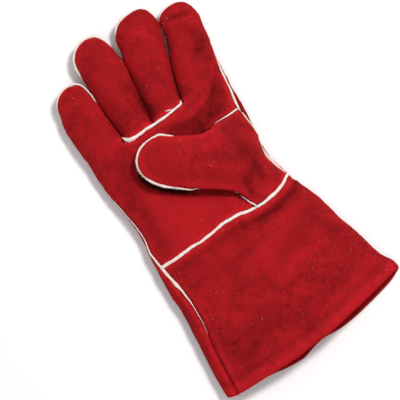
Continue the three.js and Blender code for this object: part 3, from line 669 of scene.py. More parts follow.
def suede(name="suede_red"):
    """Napped split leather: tone.r bright rims, tone.g painted shade and dark nap, tone.b how mottled."""
    m, nt, b, new = nodes_of(name)
    co = new("ShaderNodeTexCoord").outputs["Object"]
    tone = new("ShaderNodeAttribute", attribute_name="tone")
    sep = new("ShaderNodeSeparateColor")
    nt.links.new(tone.outputs["Color"], sep.inputs[0])
    rim, dark, mott = sep.outputs[0], sep.outputs[1], sep.outputs[2]
    big = noise_node(nt, new, co, 34, 3, 0.6, 0.8)
    mid = noise_node(nt, new, co, 120, 5, 0.68, 0.5)
    fine = noise_node(nt, new, co, 560, 4, 0.72, 0.3)
    hair = noise_node(nt, new, co, 1500, 2, 0.6)
    v = math_node(nt, new, "ADD", math_node(nt, new, "MULTIPLY", big, 0.40), math_node(nt, new, "MULTIPLY", mid, 0.31))
    v = math_node(nt, new, "ADD", v, math_node(nt, new, "MULTIPLY", fine, 0.31))
    blot = remap(nt, new, v, 0.56, 0.42)                      # 1 where the nap lies dark
    blot = math_node(nt, new, "MULTIPLY", blot, mott)
    c = mix_color(nt, new, blot, RED, RED_DARK)
    lift = math_node(nt, new, "MULTIPLY", remap(nt, new, big, 0.5, 0.68), 0.35)
    c = mix_color(nt, new, lift, c, RED_BRIGHT)
    c = mix_color(nt, new, math_node(nt, new, "MULTIPLY", remap(nt, new, hair, 0.40, 0.66), 0.34), c, RED_BRIGHT)
    c = mix_color(nt, new, math_node(nt, new, "MULTIPLY", remap(nt, new, fine, 0.50, 0.34), 0.62), c, RED_DARK)
    c = mix_color(nt, new, math_node(nt, new, "MULTIPLY", rim, 0.95), c, RED_BRIGHT)
    # tone.g mixes towards RED_DEEP as painted shade, and at its highest towards near-black painted shadow
    dk = math_node(nt, new, "MULTIPLY", dark, remap(nt, new, mid, 0.25, 0.62, 1.0, 0.62))
    c = mix_color(nt, new, dk, c, RED_DEEP)
    c = mix_color(nt, new, remap(nt, new, dark, 0.80, 1.0, 0.0, 0.85), c, (0.010, 0.0010, 0.0012))
    nt.links.new(c, b.inputs["Base Color"])
    b.inputs["Roughness"].default_value = 0.94
    b.inputs["Specular IOR Level"].default_value = 0.06
    b.inputs["Sheen Weight"].default_value = 0.05
    b.inputs["Sheen Roughness"].default_value = 0.45
    b.inputs["Sheen Tint"].default_value = (1.0, 0.22, 0.2, 1)
    h = math_node(nt, new, "ADD", math_node(nt, new, "MULTIPLY", mid, 1.0), math_node(nt, new, "MULTIPLY", fine, 0.45))
    h = math_node(nt, new, "ADD", h, math_node(nt, new, "MULTIPLY", hair, 0.12))
    bump = new("ShaderNodeBump")
    bump.inputs["Strength"].default_value = 0.9
    bump.inputs["Distance"].default_value = 0.0010
    nt.links.new(h, bump.inputs["Height"])
    nt.links.new(bump.outputs[0], b.inputs["Normal"])
    return m


def pale_leather(name="piping_pale"):
    m, nt, b, new = nodes_of(name)
    co = new("ShaderNodeTexCoord").outputs["Object"]
    mid = noise_node(nt, new, co, 260, 4, 0.65, 0.4)
    fine = noise_node(nt, new, co, 1500, 3, 0.6, 0.3)
    c = mix_color(nt, new, remap(nt, new, mid, 0.38, 0.62), (0.93, 0.83, 0.77), (0.86, 0.70, 0.63))
    c = mix_color(nt, new, math_node(nt, new, "MULTIPLY", remap(nt, new, fine, 0.5, 0.72), 0.25), c, (0.70, 0.36, 0.32))
    nt.links.new(c, b.inputs["Base Color"])
    b.inputs["Roughness"].default_value = 0.85
    b.inputs["Specular IOR Level"].default_value = 0.25
    b.inputs["Sheen Weight"].default_value = 0.15
    bump = new("ShaderNodeBump")
    bump.inputs["Strength"].default_value = 0.7
    bump.inputs["Distance"].default_value = 0.0005
    nt.links.new(math_node(nt, new, "ADD", mid, fine), bump.inputs["Height"])
    nt.links.new(bump.outputs[0], b.inputs["Normal"])
    return m


def plain_cloth(name, color, dark, scale):
    m, nt, b, new = nodes_of(name)
    co = new("ShaderNodeTexCoord").outputs["Object"]
    n = noise_node(nt, new, co, scale, 3, 0.6)
    nt.links.new(mix_color(nt, new, remap(nt, new, n, 0.35, 0.65), color, dark), b.inputs["Base Color"])
    b.inputs["Roughness"].default_value = 0.9
    b.inputs["Specular IOR Level"].default_value = 0.2
    return m


SUEDE, PIPING = suede(), pale_leather()
THREAD = plain_cloth("thread_red", (0.52, 0.022, 0.03), (0.26, 0.009, 0.012), 900)
FLUFF = plain_cloth("nap_red", (0.46, 0.012, 0.017), (0.24, 0.007, 0.010), 220)

# ------------------------------------------------------------------ shaping a panel
RIM_R = 1.6


def seam_profile(d, wide=2.0, deep=1.7, puff=0.5):
    return -deep * np.exp(-(d / wide) ** 2) + puff * np.exp(-((d - 5.0) / 2.8) ** 2)


FOLD_LINE = rows("x y", [[-10, 78], [4, 73], [12.8, 69.8], [22, 67], [32.5, 65.3], [42, 66.2], [52.5, 69.6], [60, 73.6], [66.2, 78], [72, 83], [76.9, 88.5], [82, 96]])


def thumb_hollow(V):
    """Slack leather that dips between the index finger's root and the thumb."""
    x, y = V[:, 0], V[:, 1]
    t = at(FOLD_LINE, "x", "y", np.clip(x, -10, 82)) - y
    ends = smooth((x - 2) / 12) * (1 - smooth((x - 50 - 0.5 * (y - 55)) / 24)) * (y > 42)
    near = np.sqrt(np.maximum(44 - x, 0) ** 2 + (y - 50) ** 2)
    dip = smooth((t + 1) / 6) * ends * smooth((near - 1.5) / 6)
    line_ = np.exp(-(t / 2.4) ** 2) * smooth((x - 6) / 14) * (1 - smooth((x - 80) / 8)) * (y > 42)
    ridge = np.exp(-((t + 4.5) / 3.2) ** 2) * smooth((x - 14) / 14) * (1 - smooth((x - 74) / 8)) * (y > 42)
    return dip, line_, ridge


def kdtree_flat(path, V):
    """Distance seen from above to a path."""
    tree = kdtree.KDTree(len(path))
    for i, p in enumerate(path):
        tree.insert((p[0], p[1], 0), i)
    tree.balance()
    return np.array([tree.find((p[0], p[1], 0))[2] for p in V])


def shape(panel, seams, hem=None, mottle=0.75, seed=0, cuff_crease=False, wide=1.9, deep=1.5, puff=0.5, hollow=False,
          fade=None, seam_groove_shade=0.5):
    """Moves the outer sheet along its normals, and works out its tones."""
    N = panel.normals()
    V, node = panel.V, panel.name
    d, run = Field(seams)(V)
    up = np.clip(N[:, 2] * 2.0, 0, 1)
    on = 1.0 if fade is None else fade(V)
    if node in ("cuff", "back"):      # no piping down the cuff's right side: the panels stay close
        on = on * (1 - 0.85 * smooth((-42 - V[:, 1] + 0.12 * (V[:, 0] - 60)) / 8) * (V[:, 0] > 40))
    move = seam_profile(d, wide, deep, puff) * on
    move += 0.16 * np.exp(-(d / 6) ** 2) * np.sin(2 * PI * run / 8.3 + 1.3 * np.sin(run / 11)) * smooth((d - 1.5) / 2)
    move += 0.24 * waves(V, 34, 11 + seed) + 0.13 * waves(V, 15, 12 + seed) + 0.07 * waves(V, 6.5, 13 + seed)
    move -= folds(CREASES, V[:, 0], V[:, 1]) * up
    # painted shade in the creases, and the broad darker patches (some dark nap, some painted shade)
    dark = (folds(CREASES, V[:, 0], V[:, 1], "dark") + folds(NAP_AND_SHADE_PATCHES, V[:, 0], V[:, 1], "dark")) * up
    rim = 0.9 * np.exp(-((d - 3.2) / 2.2) ** 2) * on
    # painted shade in the grooves close along the seams
    dark = dark + seam_groove_shade * np.exp(-(d / 1.3) ** 4) * on
    # painted shade on the steep sides, darker the less they face up
    dark = dark + 0.4 * smooth((0.32 - N[:, 2]) / 0.4)
    if node == "back":
        # painted shade on the back panel beside the index finger's right side
        dark = dark + 0.95 * smooth((V[:, 0] - 70) / 6) * smooth((V[:, 1] + 4) / 8) * (1 - smooth((V[:, 1] - 128) / 8)) * (V[:, 2] < 20)
    painted_thumb_shadow = 0.0                     # painted shadow of the thumb, darkest close beside it on the palm
    if node == "palm":
        q = kdtree_flat(SEAM["thumb"], V)
        painted_thumb_shadow = 1.3 * np.exp(-(q / 5.0) ** 2) * (1 - smooth((V[:, 1] - 44) / 9)) * (1 - 0.66 * smooth((V[:, 0] + 22) / 30))
    if hollow:
        dip, line_, ridge = thumb_hollow(V)
        move += -2.4 * dip - 0.5 * line_ + 0.9 * ridge
        # painted shade in the hollow, along the fold line and under the thumb's upper edge
        dark = dark + 0.68 * dip + 0.34 * smooth((V[:, 1] - 46) / 4) * (1 - smooth((V[:, 1] - 60) / 6)) * smooth((V[:, 0] - 30) / 10) * (1 - smooth((V[:, 0] - 64) / 8)) + 0.5 * line_
    if cuff_crease:
        dc, _ = Field(["cuff"])(V)
        right = 0.30 + 0.85 * smooth((V[:, 0] + 10) / 60)
        inner = 1 - smooth((V[:, 0] - 70) / 9)
        move += inner * (0.7 * np.exp(-((dc - 5) / 3) ** 2) - 1.5 * right * np.exp(-((dc - 10.5) / 2.2) ** 2))
        # painted shade in the crease about 10 mm below the cuff seam
        dark = dark + 0.75 * right * np.exp(-((dc - 10.6) / 2.3) ** 2) + 0.35 * right * np.exp(-((dc - 14) / 5) ** 2)
        # the crease and ridge that go on where the left piping ends
        dl, _ = Field(["left"])(V)
        low = smooth((-104 - V[:, 1]) / 14)
        move += low * (0.8 * np.exp(-((dl - 4.2) / 2.6) ** 2) - 0.35 * np.exp(-((dl - 8.2) / 1.4) ** 2))
        move += low * deep * 0.72 * np.exp(-(dl / wide) ** 2)
        rim = rim + 0.3 * low * np.exp(-((dl - 4) / 2.5) ** 2)
        # painted shade in the crease beside the ridge
        dark = dark + 0.15 * low * np.exp(-((dl - 8.4) / 2.0) ** 2)
    thick = np.full(len(V), WALL)
    if hem:
        dh, rh = Field([hem])(V)
        inside = smooth((HEM + 1 - dh) / 1.5)
        flat = np.clip(N[:, 2] * 1.6, 0.25, 1)
        move += flat * inside * 0.8 * np.sin(PI * np.clip(dh / HEM, 0, 1)) ** 0.6
        move -= flat * 0.6 * np.exp(-((dh - HEM) / 1.1) ** 2) + 0.9 * np.exp(-(dh / 0.9) ** 2)
        move += 0.10 * inside * np.sin(2 * PI * rh / 6.5 + 2 * np.sin(rh / 17))
        rim = rim + 0.58 * inside * np.exp(-((dh - 5) / 5) ** 2)
        # painted shade in the groove at the hem's inner edge and in a band just beyond it
        dark = dark + 0.30 * np.exp(-((dh - HEM) / 0.8) ** 2) + 0.22 * np.exp(-((dh - HEM - 3) / 3.0) ** 2)
        thick = mix(WALL, HEM_WALL, smooth((HEM + 2 - dh) / 3))
    panel.V = V + N * move[:, None]
    panel.V[:, 2] = np.maximum(panel.V[:, 2], 0.02)
    m = mottle * (0.8 + 0.35 * waves(V, 60, 31 + seed)) if np.isscalar(mottle) else mottle
    dark = np.minimum(dark, 0.78) + painted_thumb_shadow
    tone = np.clip(np.stack([rim * (0.8 + 0.3 * waves(V, 9, 41)), dark, m + 0 * d], 1), 0, 1)
    return tone, thick


def build(panel, node, tone, thick):
    V, F = panel.close(thick)
    # Inner sheets: the back panel's keeps most of its rim brightening and none of the extra dark, painted light that
    # lifts its shaded strip seen inside the cuff's mouth; the others keep a fifth of their rims and get a little
    # darker.
    t2 = tone.copy()
    t2[:, 0] *= 0.9 if panel.name == "back" else 0.2
    t2[:, 1] = np.clip(t2[:, 1] * 0.5 + (0.0 if panel.name == "back" else 0.12), 0, 1)
    o = mesh_object(panel.name, V, F, SUEDE, np.concatenate([tone, t2]))
    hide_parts(node)
    return o


def strip(rib, k):
    return rib[k * (FC + 1):(k + 1) * (FC + 1)]


def up_finger(k, side, first):
    return [first] + [finger_rib(k, sec, side, cap)[0] for sec, cap in finger_sections(k)]


# palm with the little and the index finger
top_rib = body_rib(THUMB_SEAM_Y + 0.1, "front")
top_rib[:, 1] += np.where(top_rib[:, 0] > 30, slot_for(THUMB_UP_R(top_rib[:, 0])) - 0.1, 0)
top_rib[:, 1] -= 2.0 * np.exp(-((top_rib[:, 0] - 49) / 6.0) ** 4)     # tucked under the thumb
x_end = top_rib[THUMB_COL, 0]


def palm_edge(v):
    return mix(float(at(PALM_EDGE, "y", "x", v)) - mix(0.35, 1.5, float(smooth((v + 24) / 8))), x_end, float(smooth((v - 38) / 12)))


def shifted(rib, dy):
    return rib + np.array([0, dy, 0])


palm = Panel("palm")
low = [shifted(body_rib(CUFF_SEAM_V, "front", palm_edge(CUFF_SEAM_V)), SLOT)]
low += [body_rib(v, "front", palm_edge(v)) for v in stations(CUFF_SEAM_V + SLOT + 1.2, THUMB_SEAM_Y - 3.2)]
palm.patch(low + [top_rib[:THUMB_COL + 1]])
high = [top_rib] + [body_rib(v, "front") for v in stations(THUMB_SEAM_Y + SLOT + 1.3, PALM_BASE_Y - SLOT)]
palm.patch(high)
base_front = body_rib(BASE_Y, "front")
between = [body_rib(v, "front") for v in stations(PALM_BASE_Y, BASE_Y - 1.1, 1.1)]
for k in (0, 3):
    palm.patch([strip(high[-1], k)] + [strip(r, k) for r in between] + up_finger(k, "front", strip(base_front, k)))
palm.weld()
V = palm.V
calm = 1 - 0.92 * np.exp(-((V[:, 0] + 20) / 42) ** 2 - ((V[:, 1] + 14) / 34) ** 2)
glow = np.exp(-((V[:, 0] + 22) / 40) ** 2 - ((V[:, 1] + 8) / 30) ** 2)
tone, thick = shape(palm, ["left", "cuff", "palm_base", "little", "index", "right_index", "thumb_upper"],
                    mottle=np.clip(0.82 * calm * (0.85 + 0.3 * waves(V, 60, 5)), 0.08, 1), seed=1, hollow=True,
                    fade=lambda V: 1 - smooth((54 - V[:, 0]) / 8) * (np.abs(V[:, 1] - 49) < 9) * (V[:, 0] > 25))
tone[:, 0] = np.clip(tone[:, 0] + 0.42 * glow, 0, 1)      # the heel of the hand is brushed bright
build(palm, "palm_panel", tone, thick)

middles = Panel("middle_fingers")
start = [body_rib(PALM_BASE_Y + SLOT, "front")] + [body_rib(v, "front") for v in stations(PALM_BASE_Y + SLOT + 1.2, BASE_Y - 1.1, 1.1)] + [base_front]
middles.patch([r[M0:M1] for r in start])
for k in (1, 2):
    middles.patch(up_finger(k, "front", strip(base_front, k)))
middles.weld()
tone, thick = shape(middles, ["palm_base", "ring", "middle"], mottle=0.95, seed=2)
build(middles, "middle_fingers_front", tone, thick)

# cuff
CUFF_VS = stations(-170, CUFF_SEAM_V - SLOT - 1.2)
cuff = Panel("cuff")
cuff.patch([body_rib(v, "front") for v in CUFF_VS] + [shifted(body_rib(CUFF_SEAM_V, "front"), -SLOT)])
cuff.weld()
tone, thick = shape(cuff, ["left", "cuff", "right_cuff"], hem="hem_front", mottle=0.8, seed=3, cuff_crease=True)
build(cuff, "cuff_front", tone, thick)

# back of the hand, fingers and cuff
back = Panel("back")
BACK_VS = np.concatenate([stations(-170, PALM_BASE_Y, 1.5), stations(PALM_BASE_Y + 1.4, BASE_Y, 1.4)])
back_ribs = [body_rib(v, "back") for v in BACK_VS]
back.patch(back_ribs, True)
for k in range(4):
    back.patch(up_finger(k, "back", strip(back_ribs[-1], k)), True)
back.weld()
tone, thick = shape(back, ["left", "right_cuff", "right_thumb", "right_index", "little", "ring", "middle", "index"],
                    hem="hem_back", mottle=0.85, seed=4)
build(back, "back_panel", tone, thick)

# thumb
thumb = Panel("thumb")
root_vs = np.linspace(CUFF_SEAM_V + 0.6 + SLOT, THUMB_SEAM_Y - float(slot_for(THUMB_UP_R(78))), THUMB_COLS + 1)
root = []
for v in root_vs:
    c = lambda p: dome(v, p)
    p0 = arc(c, float(seam_angle(v, 1)), float(slot_for(RIGHT_R(v))))
    root.append(c(np.array([p0, p0 + 0.02])))
root = np.array(root)
p0, t0 = root[:, 0], unit(root[:, 1] - root[:, 0])
first, nxt = outer_rib(thumb_rib(1)), outer_rib(thumb_rib(1.1))
span = np.linalg.norm(first - p0, axis=1, keepdims=True)
t0, t1 = t0 * span * 1.15, (nxt - first) * 10
t1 = unit(t1) * np.minimum(np.linalg.norm(t1, axis=1, keepdims=True), span * 1.1)
bridge = []
for u in np.linspace(0, 1, 12)[:-1]:
    bridge.append((2 * u**3 - 3 * u**2 + 1) * p0 + (u**3 - 2 * u**2 + u) * t0 + (3 * u**2 - 2 * u**3) * first + (u**3 - u**2) * t1)
T_CAPS = np.radians([5, 10, 15, 20, 25, 30, 35, 40, 45, 50, 55, 60, 64, 68, 72, 76, 80, 83, 86])
ribs = bridge + [outer_rib(thumb_rib(v)) for v in stations(1, 9, 0.085)] + [outer_rib(thumb_rib(9, c), c) for c in T_CAPS]
thumb.patch(ribs)
thumb.weld()
tone, thick = shape(thumb, ["thumb", "thumb_lower", "thumb_upper", "right_thumb", "cuff"], mottle=0.95, seed=6, puff=0.6, wide=1.3, deep=0.7, seam_groove_shade=0.1)
V = thumb.V
dt, _ = Field(["thumb"])(V)
tone[:, 0] = np.clip(tone[:, 0] + 0.55 * np.exp(-((dt - 5) / 4.5) ** 2), 0, 1)
build(thumb, "thumb_outer", tone, thick)

under = Panel("thumb_under")
under.patch([inner_rib(thumb_rib(v)) for v in stations(5.3, 9, 0.1)] + [inner_rib(thumb_rib(9, c), c) for c in T_CAPS], True)
under.weld()
tone, thick = shape(under, ["thumb"], mottle=0.8, seed=7, puff=0.2)
build(under, "thumb_inner", tone, thick)


# ------------------------------------------------------------------ piping
def piping(name, path, radius, out, node=None, sides=12, seed=0, pointed=(True, True), material=None):
    """A strip of slightly uneven leather cord. radius and out are given at the path's points:
    out gives the directions away from the hollow that the cord's section is set on."""
    path, radius, out = np.asarray(path, float), np.asarray(radius, float), np.asarray(out, float)
    s = np.r_[0, np.cumsum(np.linalg.norm(np.diff(path, axis=0), axis=1))]
    keep = np.r_[True, np.diff(s) > 1e-6]
    s, path, radius, out = s[keep], path[keep], radius[keep], out[keep]
    q = np.linspace(0, s[-1], max(8, int(s[-1] / 0.7)))
    P = np.stack([np.interp(q, s, path[:, i]) for i in range(3)], 1)
    U = unit(np.stack([np.interp(q, s, out[:, i]) for i in range(3)], 1))
    R = np.interp(q, s, radius)
    for _ in range(3):
        P[1:-1] = (P[:-2] + 2 * P[1:-1] + P[2:]) / 4
        U[1:-1] = unit(U[:-2] + 2 * U[1:-1] + U[2:])
    R = R * (1 + 0.07 * waves(P, 13, 50 + seed) + 0.035 * waves(P, 4.0, 60 + seed))
    D = unit(np.gradient(P, axis=0))
    side = unit(np.cross(D, U))
    U = np.cross(side, D)
    P = P + U * (0.10 * waves(P, 14, 70 + seed))[:, None] + side * (0.14 * waves(P, 16, 80 + seed))[:, None]
    ends = np.ones(len(q))
    if pointed[0]:
        ends *= np.clip(q / 5.0, 0.06, 1) ** 0.6
    if pointed[1]:
        ends *= np.clip((q[-1] - q) / 5.0, 0.06, 1) ** 0.6
    R = np.maximum(R * ends, 0.06)
    a = 2 * PI * np.arange(sides) / sides
    jag = 1 + 0.05 * np.stack([waves(P + 3.0 * i, 3.0, 90 + seed) for i in range(sides)], 1)
    ring = (P[:, None] + (side[:, None] * np.cos(a)[None, :, None] + U[:, None] * (0.9 * np.sin(a))[None, :, None]) * (R[:, None] * jag)[..., None])
    n, V = len(q), ring.reshape(-1, 3)
    i, k = np.meshgrid(np.arange(n - 1), np.arange(sides), indexing="ij")
    A, B = i * sides + k, i * sides + (k + 1) % sides
    F = [np.stack([A, B, A + sides], -1).reshape(-1, 3), np.stack([B, B + sides, A + sides], -1).reshape(-1, 3)]
    V = np.concatenate([V, [P[0] - D[0] * R[0] * 0.6, P[-1] + D[-1] * R[-1] * 0.6]])
    kk = np.arange(sides)
    F.append(np.stack([np.full(sides, n * sides), (kk + 1) % sides, kk], 1))
    e = (n - 1) * sides
    F.append(np.stack([np.full(sides, n * sides + 1), e + kk, e + (kk + 1) % sides], 1))
    F = np.concatenate(F)
    c = np.cross(V[F[:, 1]] - V[F[:, 0]], V[F[:, 2]] - V[F[:, 0]])
    mid = V[F].mean(1)
    if np.einsum("ij,ij->", c, mid - P[np.clip(F.min(1) // sides, 0, n - 1)]) < 0:
        F = F[:, ::-1]
    o = mesh_object(name, V, F, material or PIPING, smooth_angle=60)
    if node:
        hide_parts(node)
    PIPES.append((P, R, U, side, D))
    return o


PIPES = []


def table(x, pairs):
    xs, ys = zip(*sorted(pairs))
    return np.interp(x, xs, ys)


def side_path(v0, v1, side, lift):
    """Points and outward directions of a body side seam."""
    vs = stations(v0, v1, 0.8)
    a = seam_angle(vs, side)
    p = dome(vs, PI - a if side < 0 else a)
    m = (dome(vs, 0 * vs) + dome(vs, PI + 0 * vs)) / 2
    x, z = at(BODY, "v", "xl" if side < 0 else "xr", vs), at(BODY, "v", "waist", vs)
    u = unit(vec(np.sign(side) * (0.35 + 0 * vs), 0 * vs, np.clip((p[:, 2] - z) / 10, -0.4, 1.0)))
    if v1 == BASE_Y:                  # the finger's own section is steeper at its root
        k = 0 if side < 0 else 3
        sec = finger_section(k, BASE_Y)
        L, R = finger_seams(k, sec)
        step = finger_point(sec, np.array([L if side < 0 else R]))[0, 2] - p[-1, 2]
        p[:, 2] += step * np.exp(-((BASE_Y - vs) / 6.5) ** 1.3)
    return p + u * np.asarray(lift)[..., None], u, vs


def tip_path(k, lift=0.15):
    pts, outs, ys = [], [], []
    for side in (-1, 1):
        part = []
        for sec, cap in [(finger_section(k, BASE_Y), 0.0)] + finger_sections(k) + [
                (finger_section(k, 999, math.radians(c)), math.radians(c)) for c in (87, 89.5)]:
            L, R = finger_seams(k, sec, cap)
            phi = L if side < 0 else R
            p = finger_point(sec, np.array([phi]))[0]
            u = unit(np.array([math.cos(phi) * math.cos(cap), math.sin(cap) * 1.0, 0.55 * math.sin(phi) + 0.25]))
            part.append((p + u * lift, u, sec["y"]))
        if side > 0:
            part = part[::-1]
        for p, u, y in part:
            pts.append(p); outs.append(u); ys.append(y)
    return np.array(pts), np.array(outs), np.array(ys), len(pts) // 2


def tip_radius(n, half, left, right):
    """left and right: (share of the way from the root to the tip, radius)."""
    s = np.linspace(0, 1, half)
    return np.r_[table(s, left), table(s[::-1], right)][:n]


# little finger, and down the left side to mid cuff
p1, u1, v1 = side_path(-112, BASE_Y, -1, 0.05)
p2, u2, y2, h = tip_path(0)
r2 = tip_radius(len(p2), h, [(0, 0.7), (0.6, 0.7), (0.72, 1.0), (0.85, 1.1), (1, 1.1)], [(0, 0.6), (0.45, 0.6), (0.6, 0.85), (1, 1.1)])
piping("piping_little", np.concatenate([p1[:-1], p2]), np.r_[LEFT_R(v1)[:-1], r2], np.concatenate([u1[:-1], u2]), "welt_little", seed=1)
p, u, y, h = tip_path(1)
piping("piping_ring", p, tip_radius(len(p), h, [(0, 0.5), (0.6, 0.5), (0.66, 0.8), (0.74, 1.4), (0.92, 1.5), (1, 1.3)], [(0, 0.5), (0.7, 0.5), (0.8, 0.8), (1, 1.3)]), u, "welt_ring", seed=2)
p, u, y, h = tip_path(2)
piping("piping_middle", p, tip_radius(len(p), h, [(0, 0.5), (0.75, 0.5), (0.80, 1.0), (0.86, 1.4), (0.95, 1.4), (1, 1.1)], [(0, 0.5), (0.85, 0.6), (1, 1.1)]), u, "welt_middle", seed=3)
p2, u2, y2, h = tip_path(3)
r2 = tip_radius(len(p2), h, [(0, 0.5), (0.76, 0.5), (0.83, 1.0), (0.9, 1.25), (1, 1.2)], [(0, 0.9), (0.2, 0.75), (0.4, 0.5), (0.6, 0.5), (0.85, 0.7), (1, 1.1)])
p3, u3, v3 = side_path(THUMB_SEAM_Y - 3, BASE_Y, 1, 0.15)
piping("piping_index", np.concatenate([p2, p3[::-1][1:]]), np.r_[r2, RIGHT_R(v3)[::-1][1:]], np.concatenate([u2, u3[::-1][1:]]), "welt_index", seed=4)
p, u, v = side_path(CUFF_SEAM_V + 2, THUMB_SEAM_Y - 3.6, 1, 0.1)
piping("piping_side", p[::-1], RIGHT_R(v)[::-1], u[::-1], "welt_side", seed=5)

# cuff seam
ph = np.linspace(PI - float(seam_angle(CUFF_SEAM_V, -1)) - 0.02, float(seam_angle(CUFF_SEAM_V, 1)) + 0.03, 240)
p = dome(CUFF_SEAM_V, ph)
u = unit(vec(np.cos(ph) * 0.6, 0 * ph, np.sin(ph)))
piping("piping_cuff", p + u * 0.05, np.interp(np.linspace(0, 1, 240), [0, 0.1, 0.3, 0.5, 0.85, 1], [1.6, 1.7, 1.45, 1.45, 1.6, 1.4]), u, "welt_cuff", seed=6, pointed=(False, False))

# base of the two middle fingers: a blob with an upturned point on the left, a widened end on the right
rib = body_rib(PALM_BASE_Y, "front")[M0 - 1:M1 + 1]
left_end = np.array([[-29.3, 88.6, 18.0], [-29.0, 87.2, 19.0], [-28.4, 85.2, 19.8]])
right_end = np.array([[33.6, 83.4, 21.2], [35.0, 84.8, 20.0], [36.2, 86.8, 18.6], [36.8, 88.4, 17.4]])
inner = rib[(rib[:, 0] > -27.6) & (rib[:, 0] < 32.0)]
zs = inner[:, 2].copy()
for _ in range(40):
    zs[1:-1] = (zs[:-2] + 2 * zs[1:-1] + zs[2:]) / 4
inner[:, 2] = np.maximum(inner[:, 2], zs)
path = line(np.concatenate([left_end, inner, right_end]))
for _ in range(5):
    path[1:-1] = (path[:-2] + 2 * path[1:-1] + path[2:]) / 4
along = np.arange(len(path)) * 0.4
piping("piping_palm_base", path + [0, 0, 0.3], np.interp(along / along[-1], [0, 0.04, 0.10, 0.17, 0.24, 0.5, 0.75, 0.9, 0.96, 1], [0.8, 1.6, 2.05, 2.0, 1.5, 1.35, 1.3, 1.1, 1.3, 1.1]),
       np.tile([0.0, 0, 1], (len(path), 1)), "welt_palm_base", seed=7, pointed=(True, True))
flap = np.array([[24.6, 82.4, 25.9], [22.5, 82.8, 26.2], [20.4, 83.5, 26.2], [18.6, 84.4, 25.8], [16.8, 85.0, 25.3]])
piping("piping_flap", flap, [0.5, 0.75, 0.7, 0.6, 0.4], np.tile([0.0, 0, 1], (5, 1)), seed=17)

# thumb
path = SEAM["thumb"]
c0 = np.array([15.0, 28.0])
u = unit(np.concatenate([unit(np.gradient(path, axis=0)[:, :2] @ np.array([[0, -1], [1, 0]])), np.full((len(path), 1), 0.45)], 1))
flip = np.einsum("ij,ij->i", u[:, :2], path[:, :2] - c0) < 0
u[flip, :2] *= -1
x = path[:, 0]
half_n = int(np.argmin(x))
r = np.r_[THUMB_LOW_R(np.minimum(x[:half_n], 29)), THUMB_UP_R(np.minimum(x[half_n:], 46))]
tuck = smooth((0.7 - r) / 0.5)
piping("piping_thumb", path + u * (0.15 - 1.8 * tuck)[:, None], np.maximum(r, 0.35), u, "welt_thumb", seed=8)
path = SEAM["thumb_lower"]
path = np.concatenate([[path[0] + [2.4, -5.4, 1.5], path[0] + [1.6, -3.6, 2.1], path[0] + [0.6, -1.5, 1.6]], path])
piping("piping_thumb_lower", path + [0, 0, 0.2], np.interp(np.linspace(0, 1, len(path)), [0, 0.12, 0.5, 1], [0.7, 0.75, 0.5, 0.3]),
       np.tile([-0.3, 0, 1.0], (len(path), 1)), "welt_thumb_lower", seed=9, pointed=(False, True))
path = SEAM["thumb_upper"]
path = path[path[:, 0] > 49.0]
path = np.concatenate([[[77.6, 49.9, 17.0], [75.8, 50.0, 19.6]], path[path[:, 0] < 74.6]])
piping("piping_thumb_upper", path + [0, 0, -0.1], np.maximum(THUMB_UP_R(path[:, 0]), 0.3), np.tile([0.0, 0.2, 1.0], (len(path), 1)), "welt_thumb_upper", seed=10)


# ------------------------------------------------------------------ stitches, lint, loose nap
def capsules(name, A, B, N, r, material, flat=0.75):
    """Short stitches from A to B, standing on normals N."""
    T, M = 8, 7
    D = unit(B - A)
    S = unit(np.cross(N, D))
    U = np.cross(D, S)
    t = np.linspace(0, 1, M)
    rr = np.sin(PI * np.clip(t, 0.04, 0.96)) ** 0.5
    a = 2 * PI * np.arange(T) / T
    C = A[:, None] + (B - A)[:, None] * t[None, :, None] + U[:, None] * (0.25 * r * np.sin(PI * t))[None, :, None]
    V = C[:, :, None] + r * rr[None, :, None, None] * (S[:, None, None] * np.cos(a)[None, None, :, None] + flat * U[:, None, None] * np.sin(a)[None, None, :, None])
    n = len(A)
    V = V.reshape(-1, 3)
    one = []
    for i in range(M - 1):
        for k in range(T):
            p, q = i * T + k, i * T + (k + 1) % T
            one += [(p, q, p + T), (q, q + T, p + T)]
    for k in range(1, T - 1):
        one += [(0, k + 1, k), ((M - 1) * T, (M - 1) * T + k, (M - 1) * T + k + 1)]
    one = np.array(one)
    F = (one[None] + (np.arange(n) * T * M)[:, None, None]).reshape(-1, 3)
    c = np.cross(V[F[0, 1]] - V[F[0, 0]], V[F[0, 2]] - V[F[0, 0]])
    if c @ (V[F[0]].mean(0) - C[0, 0]) < 0:
        F = F[:, ::-1]
    o = mesh_object(name, V, F, material)
    return o


def nearest_on(panel, P):
    tree = kdtree.KDTree(len(panel.V))
    for i, p in enumerate(panel.V):
        tree.insert(p, i)
    tree.balance()
    N = panel.normals()
    idx = [tree.find(p)[1] for p in P]
    return panel.V[idx], N[idx]


def stitch_row(name, panel, path, pitch, length, r, lift=0.12):
    p = line(path)
    s = np.arange(len(p)) * 0.4
    starts = np.arange(2.0, s[-1] - length - 1, pitch)
    get = lambda q: np.stack([np.interp(q, s, p[:, i]) for i in range(3)], 1)
    A, B = get(starts), get(starts + length)
    sa, N = nearest_on(panel, (A + B) / 2)
    off = ((sa - (A + B) / 2) * N).sum(1)[:, None] * N
    capsules(name, A + off + N * lift, B + off + N * lift, N, r, THREAD)



def hem_line(panel, hem, xs):
    """The stitched line at the inner edge of a hem, on a panel."""
    d, _ = Field([hem])(panel.V)
    sel = np.abs(d - HEM) < 1.0
    P = panel.V[sel]
    out = []
    for x in xs:
        w = np.exp(-((P[:, 0] - x) / 2.5) ** 2)
        if w.sum() > 0.5:
            out.append((P * w[:, None]).sum(0) / w.sum())
    return np.array(out)


